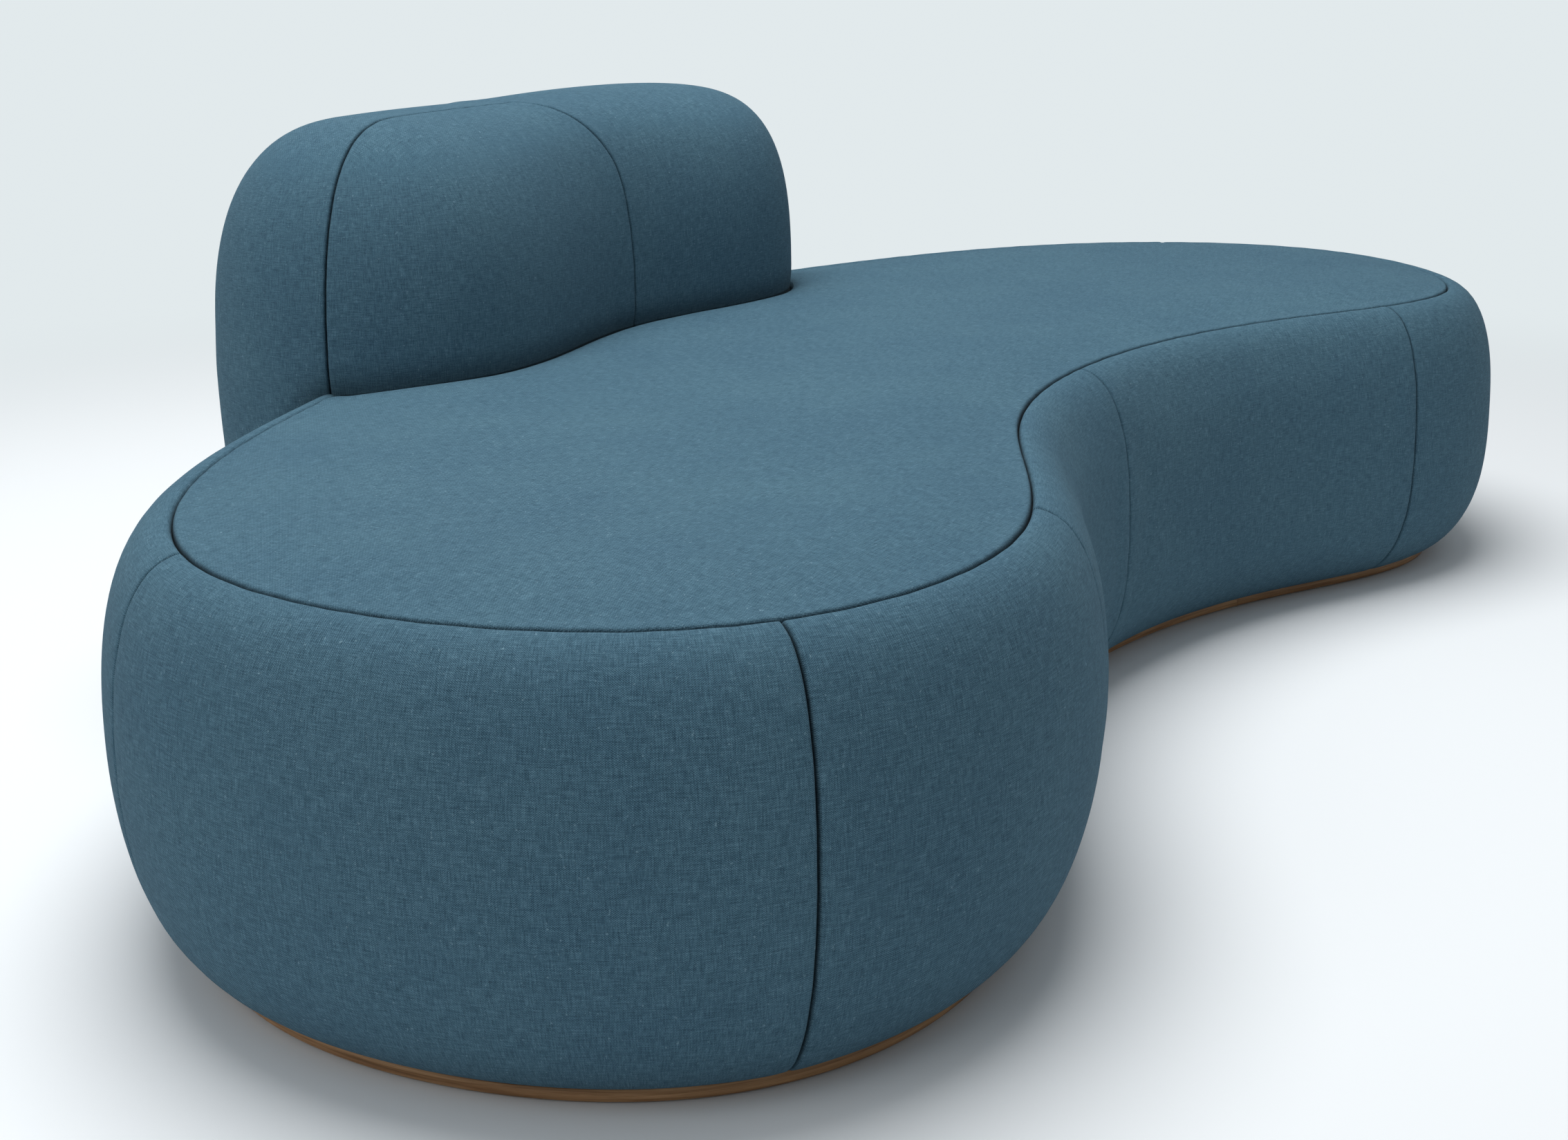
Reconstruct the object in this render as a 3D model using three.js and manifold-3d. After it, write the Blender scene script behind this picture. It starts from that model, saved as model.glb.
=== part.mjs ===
// A curved sofa: a kidney-shaped padded seat on a low wooden plinth, with one rounded backrest
// at the middle of its rear edge. Millimetres. X runs along the sofa, the bay of the seat
// faces -Y and Z is up.
import * as THREE from 'three';
import { mergeVertices } from 'three/addons/utils/BufferGeometryUtils.js';
import Module from 'manifold-3d';

const wasm = await Module();
wasm.setup();

// Seat: overall sizes over its bulging side, and the height of the seam round its top
const seatLength = 2462;
const seatDepth = 1188;
const seamHeight = 400;
const seatCrown = 12;
const crownReach = 150;

// Side of the seat: it swells out from the seam and draws in again to its lower edge
const sideBulge = 74;
const sideTuck = 84;
const bulgeHeight = 213;
const coverFoot = 14;

// Backrest: the centres of its two round ends, their radii, and its heights
const backSpan = 626;
const backShift = -35;
const backLeftInset = 103;
const backRightInset = 87;
const backLeftRadius = 201;
const backRightRadius = 206;
const backDip = 44;
const backHeight = 697;
const backBulgeHeight = 395;
const backTuck = 84;

// Covers, and the clearances between pieces
const coverThickness = 4;
const seamDip = 2.4;
const seamRoll = 10;
const grooveWidth = 3;
const fitGap = 0.3;
const softGap = 0.4;

// Foam and boards
const topperThickness = 44;
const coreThickness = 75;
const boardThickness = 18;
const fasciaThickness = 5;
const ventRadius = 40;

// Plinth and glides
const glideHeight = 2;
const glideRadius = 20;
const glideInset = 51;
const plinthProud = 8;
const plinthJoint = 420;

// Timber box inside the backrest, its brackets and bolts
const boxThickness = 60;
const boxEndLength = 90;
const boxCapFoam = 97;
const panelThickness = 9;
const bracketThickness = 3;
const bracketWidth = 60;
const bracketRise = 60;
const boltRadius = 4;
const boltHeadRadius = 8;
const boltHeadHeight = 5;
const boltClearance = 0.5;
const boltTipSpare = 2;

// How far cutting tools run past what they cut, and the spacing of the stations round the seat
const overrun = 5;
const stationStep = 108;

// Powers of the rounded side and of the backrest's shoulders
const upperPower = 2.3;
const lowerPower = 2.05;
const shoulderLeftPower = 2.5;
const shoulderRightPower = 3.1;
const shoulderPower = 2.7;

// Control points of the seat's seam line, as shares of its half length and half depth
const seatOutlineShares = [
  [-0.77, 0.58], [-1.05, 0.04], [-0.97, -0.92], [-0.59, -1.10], [-0.26, -0.56],
  [0.11, -0.49], [0.42, -0.71], [0.71, -1.19], [1.07, -0.50], [0.94, 0.30],
  [0.62, 0.70], [0.28, 0.94], [-0.08, 1.05], [-0.41, 0.82],
];

// Upright seams, as shares of the way round the seam line; the last one is behind the backrest
const seamShares = [0.053, 0.1553, 0.2277, 0.3443, 0.4612, 0.62, 0.84];

// Rows of the side and of the backrest, as shares of a quarter turn
const upperRowShares = [0, 0.07, 0.25, 0.48, 0.73, 1];
const lowerRowShares = [0.27, 0.52, 0.76, 1];
const backLowerRowShares = [1, 0.8, 0.6, 0.4, 0.2, 0];
const backUpperRowShares = [0.16, 0.32, 0.46, 0.59, 0.71, 0.81, 0.9];
const crownRowShares = [0.07, 0.27, 0.6, 1];

// Seams of the backrest seen from above, as shares of its span and of its left radius
const backSeamMeetShares = [0.404, -0.137];
const backSeamLeftShares = [
  [-0.37, -0.36], [-0.302, -0.343], [-0.2, -0.27], [-0.08, -0.2], [0.08, -0.16], [0.25, -0.14],
];
const backSeamFrontShares = [
  [0.447, -0.338], [0.476, -0.488], [0.505, -0.612], [0.521, -0.687], [0.524, -0.751],
  [0.522, -0.786], [0.522, -1.25],
];
const backSeamRearShares = [[0.404, 1.3]];

// Places of ribs and vents, as shares of the seat's half length, and of glides round the plinth
const ribShares = [-0.79, -0.47, -0.155, 0.155, 0.47, 0.79];
const ventShares = [[-0.68, -0.2], [-0.33, -0.1], [0.33, -0.1], [0.68, -0.2]];
const glideShares = [0.03, 0.18, 0.345, 0.5, 0.68];
const postShares = [-0.46, 0, 0.46];
const boltPlaceShares = [-0.25, 0.25];

// Looks of the materials
const fabric = new THREE.MeshStandardMaterial({ color: 0x4b6b80, roughness: 0.92, metalness: 0 });
const foam = new THREE.MeshStandardMaterial({ color: 0xe8ddc0, roughness: 0.95, metalness: 0 });
const plywood = new THREE.MeshStandardMaterial({ color: 0xd6bb8c, roughness: 0.7, metalness: 0 });
const timber = new THREE.MeshStandardMaterial({ color: 0x6a4a34, roughness: 0.6, metalness: 0 });
const felt = new THREE.MeshStandardMaterial({ color: 0x55565a, roughness: 1, metalness: 0 });
const steel = new THREE.MeshStandardMaterial({ color: 0xb4b8bc, roughness: 0.35, metalness: 1 });

// Heights of the layers, from the floor up
const plinthBottom = glideHeight + fitGap;
const plinthTop = coverFoot - fitGap;
const baseBottom = coverFoot;
const baseTop = baseBottom + boardThickness;
const topperTop = seamHeight - coverThickness - softGap;
const topperBottom = topperTop - topperThickness;
const coreTop = topperBottom - fitGap;
const coreBottom = coreTop - coreThickness;
const deckTop = coreBottom - fitGap;
const deckBottom = deckTop - boardThickness;
const ribBottom = baseTop + fitGap;
const ribTop = deckBottom - fitGap;

// Distances out from the seam line
const footOut = sideBulge - sideTuck;
const wallOut = footOut - fitGap;
const fasciaOut = wallOut - fasciaThickness;

const quarter = Math.PI / 2;
const sofa = new THREE.Group();

// A named piece of the sofa
function place(name, geometry, material) {
  const mesh = new THREE.Mesh(geometry, material);
  mesh.name = name;
  sofa.add(mesh);
  return mesh;
}

// Twice the area inside a flat ring, positive when it runs counter-clockwise
function turnOf(points) {
  let sum = 0;
  points.forEach((p, k) => {
    const q = points[(k + 1) % points.length];
    sum += p.x * q.y - q.x * p.y;
  });
  return sum;
}

// Triangles of a flat cap that follow the ring's own direction, or the reverse of it
function capIndex(flat, first, reversed) {
  const sign = Math.sign(turnOf(flat));
  const out = [];
  for (const [a, b, c] of THREE.ShapeUtils.triangulateShape(flat, [])) {
    const same = Math.sign(turnOf([flat[a], flat[b], flat[c]])) === sign;
    if (same !== reversed) out.push(first + a, first + b, first + c);
    else out.push(first + a, first + c, first + b);
  }
  return out;
}

// A closed body over a row of rings that all have the same number of points
function skin(rings, firstFlat, lastFlat) {
  const count = rings[0].length;
  const index = [];
  for (let r = 0; r + 1 < rings.length; r++) {
    for (let k = 0; k < count; k++) {
      const next = (k + 1) % count;
      const a = r * count + k;
      const b = r * count + next;
      const c = b + count;
      const d = a + count;
      index.push(a, b, c, a, c, d);
    }
  }
  index.push(...capIndex(firstFlat, 0, true));
  index.push(...capIndex(lastFlat, (rings.length - 1) * count, false));
  const points = rings.flat();
  let volume = 0;
  for (let k = 0; k < index.length; k += 3) {
    const [a, b, c] = [points[index[k]], points[index[k + 1]], points[index[k + 2]]];
    volume += a.dot(new THREE.Vector3().crossVectors(b, c));
  }
  if (volume < 0) index.reverse();
  const geometry = new THREE.BufferGeometry();
  geometry.setAttribute('position', new THREE.Float32BufferAttribute(
    points.flatMap((p) => [p.x, p.y, p.z]), 3));
  geometry.setIndex(index);
  return geometry;
}

// Rings stacked over one another, each an outline seen from above at one height
function stack(levels) {
  const rings = levels.map(({ outline, z }) => outline.map((p) => new THREE.Vector3(p.x, p.y, z)));
  return skin(rings, levels[0].outline, levels[levels.length - 1].outline);
}

// Solids for joining and cutting, and back again
function toSolid(geometry) {
  const bare = geometry.clone();
  bare.deleteAttribute('normal');
  bare.deleteAttribute('uv');
  const merged = mergeVertices(bare);
  return new wasm.Manifold(new wasm.Mesh({
    numProp: 3,
    vertProperties: new Float32Array(merged.attributes.position.array),
    triVerts: new Uint32Array(merged.index.array),
  }));
}

function fromSolid(solid) {
  const mesh = solid.getMesh();
  const geometry = new THREE.BufferGeometry();
  geometry.setAttribute('position', new THREE.Float32BufferAttribute(mesh.vertProperties, 3));
  geometry.setIndex(Array.from(mesh.triVerts));
  return geometry;
}

// The largest body that a cut leaves; the offcuts fall away
function mainBody(solid) {
  return solid.decompose().reduce((best, body) => (body.volume() > best.volume() ? body : best));
}

function prism(outline, bottom, top) {
  const shape = new THREE.Shape(outline.map((p) => new THREE.Vector2(p.x, p.y)));
  const geometry = new THREE.ExtrudeGeometry(shape, { depth: top - bottom, bevelEnabled: false });
  return geometry.translate(0, 0, bottom);
}

function block(x0, x1, y0, y1, z0, z1) {
  const geometry = new THREE.BoxGeometry(x1 - x0, y1 - y0, z1 - z0);
  return geometry.translate((x0 + x1) / 2, (y0 + y1) / 2, (z0 + z1) / 2);
}

// Everything between two values of X, for splitting boards
function slab(x0, x1) {
  return toSolid(block(x0, x1, -seatLength, seatLength, -seatLength, seatLength));
}

// Seam line of the seat

// A point of the smooth closed loop that the control points pull along
function loopPoint(u) {
  const n = seatOutlineShares.length;
  const i = Math.floor(u);
  const t = u - i;
  const pull = [
    (1 - t) ** 3 / 6,
    (3 * t ** 3 - 6 * t ** 2 + 4) / 6,
    (-3 * t ** 3 + 3 * t ** 2 + 3 * t + 1) / 6,
    t ** 3 / 6,
  ];
  const p = new THREE.Vector2();
  pull.forEach((w, k) => {
    const [x, y] = seatOutlineShares[(i + k - 1 + n) % n];
    p.x += w * x;
    p.y += w * y;
  });
  return p;
}

// The loop in fine steps, fitted to the seat's sizes
const fineCount = seatOutlineShares.length * 80;
const fineLoop = [];
for (let k = 0; k < fineCount; k++) {
  fineLoop.push(loopPoint(k * seatOutlineShares.length / fineCount));
}
const fineBox = new THREE.Box2().setFromPoints(fineLoop);
const fineMiddle = fineBox.getCenter(new THREE.Vector2());
const fineSize = fineBox.getSize(new THREE.Vector2());
fineLoop.forEach((p) => {
  p.sub(fineMiddle);
  p.x *= (seatLength - 2 * sideBulge) / fineSize.x;
  p.y *= (seatDepth - 2 * sideBulge) / fineSize.y;
});
const fineWay = [0];
for (let k = 0; k < fineCount; k++) {
  fineWay.push(fineWay[k] + fineLoop[k].distanceTo(fineLoop[(k + 1) % fineCount]));
}
const wayRound = fineWay[fineCount];

// A station of the seam line: its point and its outward normal
function stationAt(way) {
  const along = ((way % wayRound) + wayRound) % wayRound;
  let k = 0;
  while (fineWay[k + 1] < along) k++;
  const t = (along - fineWay[k]) / (fineWay[k + 1] - fineWay[k]);
  const p = fineLoop[k];
  const q = fineLoop[(k + 1) % fineCount];
  const before = fineLoop[(k - 1 + fineCount) % fineCount];
  const after = fineLoop[(k + 2) % fineCount];
  const run0 = q.clone().sub(before).normalize();
  const run1 = after.clone().sub(p).normalize();
  const run = run0.lerp(run1, t).normalize();
  return { point: p.clone().lerp(q, t), normal: new THREE.Vector2(run.y, -run.x) };
}

// Stations all round: one on each upright seam, one close to it on either side, and even steps
const stations = [];
const seamStations = [];
seamShares.forEach((share, k) => {
  const here = share * wayRound;
  const nextShare = k + 1 < seamShares.length ? seamShares[k + 1] : seamShares[0] + 1;
  const there = nextShare * wayRound;
  seamStations.push(stations.length);
  stations.push(stationAt(here));
  const open = there - here - 2 * seamRoll;
  const steps = Math.ceil(open / stationStep);
  for (let j = 0; j <= steps; j++) stations.push(stationAt(here + seamRoll + open * j / steps));
});

function outlineAt(out) {
  return stations.map(({ point, normal }) => point.clone().addScaledVector(normal, out));
}

// Side of the seat as seen in a cut: x is the distance out from the seam line, y the height
const sideRows = [];
upperRowShares.forEach((share) => {
  const turn = share * quarter;
  sideRows.push(new THREE.Vector2(
    sideBulge * Math.sin(turn) ** (2 / upperPower),
    bulgeHeight + (seamHeight - bulgeHeight) * Math.abs(Math.cos(turn)) ** (2 / upperPower)));
});
sideRows[sideRows.length - 1].y = bulgeHeight;
lowerRowShares.forEach((share) => {
  const turn = share * quarter;
  sideRows.push(new THREE.Vector2(
    footOut + sideTuck * Math.abs(Math.cos(turn)) ** (2 / lowerPower),
    bulgeHeight - (bulgeHeight - coverFoot) * Math.sin(turn) ** (2 / lowerPower)));
});
sideRows[sideRows.length - 1].x = footOut;

// Outward normals of the rows; the first and the last lie flat under the seat's edges
const rowNormals = sideRows.map((p, k) => {
  if (k === 0) return new THREE.Vector2(0, 1);
  if (k === sideRows.length - 1) return new THREE.Vector2(0, -1);
  const run0 = p.clone().sub(sideRows[k - 1]).normalize();
  const run1 = sideRows[k + 1].clone().sub(p).normalize();
  const run = run0.add(run1).normalize();
  return new THREE.Vector2(-run.y, run.x);
});

function rowIn(k, depth) {
  return sideRows[k].clone().addScaledVector(rowNormals[k], -depth);
}

// Cut through a side cover; it thins at the top seam, and all over where it meets a seam
function coverSection(atSeam) {
  const outer = sideRows.map((p, k) => rowIn(k, atSeam || k === 0 ? seamDip : 0));
  const inner = sideRows.map((p, k) => rowIn(k, coverThickness));
  return [...outer, ...inner.reverse()];
}

// Cut through a side foam, on every second row
function foamSection() {
  const depth = coverThickness + softGap;
  const last = sideRows.length - 1;
  const picked = [];
  for (let k = 0; k < last; k += 2) picked.push(k);
  const outer = [...picked, last].map((k) => rowIn(k, depth));
  const top = outer[0];
  const foot = outer[outer.length - 1];
  return [...outer, new THREE.Vector2(footOut - fitGap / 3, foot.y),
    new THREE.Vector2(footOut - fitGap / 3, top.y)];
}

// A section swept from one seam to another, kept clear of both by half a gap
function band(fromSeam, toSeam, section) {
  const total = stations.length;
  const first = seamStations[fromSeam];
  let last = seamStations[toSeam];
  if (last <= first) last += total;
  const run = [];
  for (let k = first; k <= last; k++) run.push(stations[k % total]);
  const trim = (end, inner) => {
    const t = (softGap / 2) / end.point.distanceTo(inner.point);
    return { point: end.point.clone().lerp(inner.point, t), normal: end.normal.clone().lerp(inner.normal, t) };
  };
  const head = trim(run[0], run[1]);
  const tail = trim(run[run.length - 1], run[run.length - 2]);
  run[0] = head;
  run[run.length - 1] = tail;
  const rings = run.map(({ point, normal }, k) => {
    const atSeam = k === 0 || k === run.length - 1;
    return section(atSeam).map(({ x, y }) => new THREE.Vector3(
      point.x + normal.x * x, point.y + normal.y * x, y));
  });
  return skin(rings, section(true), section(true));
}

// Backrest: a straight line joins its end centres, and its outline is seen from above
const backLeft = new THREE.Vector2(backShift - backSpan / 2, seatDepth / 2 - backLeftInset);
const backRight = new THREE.Vector2(backShift + backSpan / 2, seatDepth / 2 - backRightInset);
const backAlong = backRight.clone().sub(backLeft).normalize();
const backAcross = new THREE.Vector2(-backAlong.y, backAlong.x);
const backMiddle = backLeft.clone().lerp(backRight, 1 / 2);
const backTurn = Math.atan2(backAlong.y, backAlong.x);
const backFrontSteps = 12;
const backEndSteps = 10;

function backColumn(share, edge) {
  return { share, edge, spine: backLeft.clone().lerp(backRight, share) };
}

const backColumns = [];
for (let k = 0; k <= backFrontSteps; k++) {
  const s = k / backFrontSteps;
  const half = backLeftRadius + (backRightRadius - backLeftRadius) * (3 * s ** 2 - 2 * s ** 3);
  const dip = backDip * Math.sin(Math.PI * s) ** 2;
  backColumns.push(backColumn(s,
    backLeft.clone().lerp(backRight, s).addScaledVector(backAcross, dip - half)));
}
for (let k = 1; k < backEndSteps; k++) {
  const turn = backTurn - quarter + Math.PI * k / backEndSteps;
  backColumns.push(backColumn(1, backRight.clone().add(
    new THREE.Vector2(Math.cos(turn), Math.sin(turn)).multiplyScalar(backRightRadius))));
}
for (let k = backFrontSteps; k >= 0; k--) {
  const s = k / backFrontSteps;
  const half = backLeftRadius + (backRightRadius - backLeftRadius) * (3 * s ** 2 - 2 * s ** 3);
  backColumns.push(backColumn(s,
    backLeft.clone().lerp(backRight, s).addScaledVector(backAcross, half)));
}
for (let k = 1; k < backEndSteps; k++) {
  const turn = backTurn + quarter + Math.PI * k / backEndSteps;
  backColumns.push(backColumn(0, backLeft.clone().add(
    new THREE.Vector2(Math.cos(turn), Math.sin(turn)).multiplyScalar(backLeftRadius))));
}
backColumns.forEach((column, k) => {
  const before = backColumns[(k - 1 + backColumns.length) % backColumns.length].edge;
  const after = backColumns[(k + 1) % backColumns.length].edge;
  const run = after.clone().sub(before).normalize();
  column.normal = new THREE.Vector2(run.y, -run.x);
});

function backOutline(out) {
  return backColumns.map(({ edge, normal }) => edge.clone().addScaledVector(normal, out));
}

// The backrest's body, grown or shrunk, with its foot drawn straight down if asked
function backBody(grow, drawnDown) {
  const levels = [];
  if (drawnDown) levels.push({ outline: backOutline(grow - backTuck), z: -overrun });
  backLowerRowShares.forEach((share) => {
    const turn = share * quarter;
    const inset = share === 1 ? backTuck
      : backTuck * (1 - Math.cos(turn) ** (2 / lowerPower));
    const drop = (backBulgeHeight - coverFoot + grow) * Math.sin(turn) ** (2 / lowerPower);
    levels.push({ outline: backOutline(grow - inset), z: backBulgeHeight - drop });
  });
  const lastShare = backUpperRowShares[backUpperRowShares.length - 1];
  const lastRise = Math.sin(lastShare * quarter) ** (2 / shoulderPower);
  backUpperRowShares.forEach((share) => {
    const rise = Math.sin(share * quarter) ** (2 / shoulderPower);
    const outline = backColumns.map((column) => {
      const power = shoulderLeftPower
        + (shoulderRightPower - shoulderLeftPower) * column.share;
      const width = (1 - rise ** power) ** (1 / power);
      const edge = column.edge.clone().addScaledVector(column.normal, grow);
      return column.spine.clone().lerp(edge, width);
    });
    const z = backBulgeHeight + (backHeight + grow - backBulgeHeight) * rise / lastRise;
    levels.push({ outline, z });
  });
  return toSolid(stack(levels));
}

// A place in the backrest, measured along and across from the middle between its end centres
function backPlace(along, across) {
  return backMiddle.clone().addScaledVector(backAlong, along)
    .addScaledVector(backAcross, across);
}

// A box in the backrest's own directions
function backBlock(a0, a1, c0, c1, z0, z1) {
  const geometry = block(a0, a1, c0, c1, z0, z1);
  return geometry.rotateZ(backTurn).translate(backMiddle.x, backMiddle.y, 0);
}

// Room that the backrest takes in the seat
const backRoom = backBody(softGap, true);

// Outlines of the boards under the whole sofa
function footprint(seatOut, backOut, bottom, top) {
  return toSolid(prism(outlineAt(seatOut), bottom, top))
    .add(toSolid(prism(backOutline(backOut), bottom, top)));
}

const plinthSolid = footprint(footOut + plinthProud, plinthProud - backTuck, plinthBottom, plinthTop);
const baseBackOut = -backTuck - coverThickness - 2 * fitGap;
const baseSolid = footprint(wallOut, baseBackOut, baseBottom, baseTop);
const baseRoom = footprint(wallOut + fitGap, baseBackOut + fitGap, -overrun, baseTop + fitGap);

// Glides under the plinth, one of them below the backrest's rear
const glideOut = footOut + plinthProud - glideInset;
const rearColumn = backColumns[backFrontSteps + backEndSteps + backFrontSteps / 2];
const glidePlaces = glideShares.map((share) => {
  const { point, normal } = stationAt(share * wayRound);
  return point.addScaledVector(normal, glideOut);
});
glidePlaces.push(rearColumn.edge.clone()
  .addScaledVector(rearColumn.normal, plinthProud - backTuck - glideInset));
glidePlaces.forEach((p, k) => {
  const glide = new THREE.CylinderGeometry(glideRadius, glideRadius, glideHeight, 16);
  glide.rotateX(quarter);
  place(`glide_${k + 1}`, glide, felt).position.set(p.x, p.y, glideHeight / 2);
});

// Plinth boards, side by side
const plinthCuts = [-seatLength, -plinthJoint, plinthJoint, seatLength];
['left', 'middle', 'right'].forEach((side, k) => {
  const piece = plinthSolid.intersect(
    slab(plinthCuts[k] + fitGap / 2, plinthCuts[k + 1] - fitGap / 2));
  place(`plinth_board_${side}`, fromSolid(mainBody(piece)), timber);
});

// Bolt places in the backrest's box, and the holes for their shanks
const boxHalf = backSpan / 2 + boxEndLength;
const boltAcross = boxThickness / 2 - panelThickness - bracketRise / 4;
const boltPlaces = boltPlaceShares.map((share) => backPlace(share * 2 * boxHalf, boltAcross));
function boltHoles(bottom, top) {
  const holes = boltPlaces.map((p) => {
    const radius = boltRadius + boltClearance;
    const hole = new THREE.CylinderGeometry(radius, radius, top - bottom, 16);
    return toSolid(hole.rotateX(quarter).translate(p.x, p.y, (top + bottom) / 2));
  });
  return holes[0].add(holes[1]);
}

// Base boards, which carry the ribs and the backrest
const sides = [['left', -seatLength, -fitGap / 2], ['right', fitGap / 2, seatLength]];
const allHoles = boltHoles(baseBottom - overrun, baseTop + seatCrown + boardThickness);
sides.forEach(([side, x0, x1]) => {
  const piece = baseSolid.intersect(slab(x0, x1)).subtract(allHoles);
  place(`base_board_${side}`, fromSolid(mainBody(piece)), plywood);
});

// Ribs that stand on the base and carry the deck
const ribPlan = toSolid(prism(outlineAt(fasciaOut - fitGap), ribBottom, ribTop)).subtract(backRoom);
ribShares.forEach((share, k) => {
  const x = share * seatLength / 2;
  const rib = ribPlan.intersect(slab(x - boardThickness / 2, x + boardThickness / 2));
  place(`rib_${k + 1}`, fromSolid(mainBody(rib)), plywood);
});

// Bent fascia round the ribs, in two lengths that meet in the bay
const fasciaSection = () => [
  new THREE.Vector2(wallOut, ribTop), new THREE.Vector2(wallOut, ribBottom),
  new THREE.Vector2(fasciaOut, ribBottom), new THREE.Vector2(fasciaOut, ribTop),
];
[['left', 6, 3], ['right', 3, 6]].forEach(([side, from, to]) => {
  const piece = toSolid(band(from, to, fasciaSection)).subtract(backRoom);
  place(`fascia_${side}`, fromSolid(mainBody(piece)), plywood);
});

// Deck boards with round vents
const vents = ventShares.map(([x, y]) => {
  const vent = new THREE.CylinderGeometry(ventRadius, ventRadius, boardThickness + 2 * overrun, 24);
  return toSolid(vent.rotateX(quarter)
    .translate(x * seatLength / 2, y * seatDepth / 2, (deckTop + deckBottom) / 2));
});
const deckSolid = vents.reduce((solid, vent) => solid.subtract(vent),
  toSolid(prism(outlineAt(wallOut), deckBottom, deckTop)).subtract(backRoom));
sides.forEach(([side, x0, x1]) => {
  place(`deck_board_${side}`, fromSolid(mainBody(deckSolid.intersect(slab(x0, x1)))), plywood);
});

// Seat foam: a firm core and a crowned topper
function crownAt(share) {
  return seatCrown * (1 - (1 - share) ** 2);
}
const coreSolid = toSolid(prism(outlineAt(wallOut), coreBottom, coreTop)).subtract(backRoom);
place('seat_foam_core', fromSolid(mainBody(coreSolid)), foam);
const topperLevels = [
  { outline: outlineAt(wallOut), z: topperBottom },
  { outline: outlineAt(wallOut), z: topperTop + crownAt(-wallOut / crownReach) },
  ...crownRowShares.slice(1).map((share) => (
    { outline: outlineAt(-share * crownReach), z: topperTop + crownAt(share) })),
];
place('seat_foam_topper',
  fromSolid(mainBody(toSolid(stack(topperLevels)).subtract(backRoom))), foam);

// Top cover: a crowned sheet that thins and dips at the seam round its edge
const coverLevels = [];
crownRowShares.forEach((share) => {
  coverLevels.unshift({ outline: outlineAt(-share * crownReach),
    z: seamHeight - coverThickness + crownAt(share) });
});
coverLevels.push({ outline: outlineAt(-softGap), z: seamHeight - coverThickness });
coverLevels.push({ outline: outlineAt(-softGap), z: seamHeight - seamDip });
crownRowShares.forEach((share) => {
  coverLevels.push({ outline: outlineAt(-share * crownReach), z: seamHeight + crownAt(share) });
});
place('seat_cover_top',
  fromSolid(mainBody(toSolid(stack(coverLevels)).subtract(backRoom))), fabric);

// Side foams and side covers, one of each between neighbouring seams
seamShares.forEach((share, k) => {
  const next = (k + 1) % seamShares.length;
  const meetsBack = k >= seamShares.length - 2;
  const pieces = [['foam', foamSection, foam], ['cover', coverSection, fabric]];
  pieces.forEach(([kind, section, material]) => {
    const geometry = band(k, next, section);
    const fitted = meetsBack ? fromSolid(mainBody(toSolid(geometry).subtract(backRoom))) : geometry;
    place(`seat_${kind}_side_${k + 1}`, fitted, material);
  });
});

// Foam of the backrest, in five blocks round the timber box
const boxTop = backHeight - boxCapFoam;
const far = seatLength;
const foamSolid = backBody(-coverThickness - softGap, false).subtract(baseRoom);
const boxSide = boxThickness / 2 + fitGap;
const boxEnd = boxHalf + fitGap;
const foamBlocks = {
  front: [-boxHalf, boxHalf, -far, -boxSide, -far, boxTop],
  rear: [-boxHalf, boxHalf, boxSide, far, -far, boxTop],
  left: [-far, -boxEnd, -far, far, -far, far],
  right: [boxEnd, far, -far, far, -far, far],
  top: [-boxHalf, boxHalf, -far, far, boxTop + fitGap, far],
};
Object.entries(foamBlocks).forEach(([side, limits]) => {
  const piece = foamSolid.intersect(toSolid(backBlock(...limits)));
  place(`back_foam_${side}`, fromSolid(mainBody(piece)), foam);
});

// Timber box of the backrest: two panels, two rails and three posts
const boxInner = boxThickness / 2 - panelThickness;
const boxBottom = baseTop + fitGap;
place('back_panel_front',
  backBlock(-boxHalf, boxHalf, -boxThickness / 2, -boxInner, boxBottom, boxTop), plywood);
place('back_panel_rear',
  backBlock(-boxHalf, boxHalf, boxInner, boxThickness / 2, boxBottom, boxTop), plywood);
const railSide = boxInner - fitGap;
const bottomRail = toSolid(backBlock(
  -boxHalf, boxHalf, -railSide, railSide, boxBottom, boxBottom + boardThickness));
place('back_rail_bottom', fromSolid(bottomRail.subtract(allHoles)), plywood);
place('back_rail_top',
  backBlock(-boxHalf, boxHalf, -railSide, railSide, boxTop - boardThickness, boxTop), plywood);
const postBottom = boxBottom + boardThickness + fitGap;
const postTop = boxTop - boardThickness - fitGap;
postShares.forEach((share, k) => {
  const middle = share * 2 * boxHalf;
  place(`back_post_${k + 1}`, backBlock(middle - boardThickness / 2, middle + boardThickness / 2,
    -railSide, railSide, postBottom, postTop), plywood);
});

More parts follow.
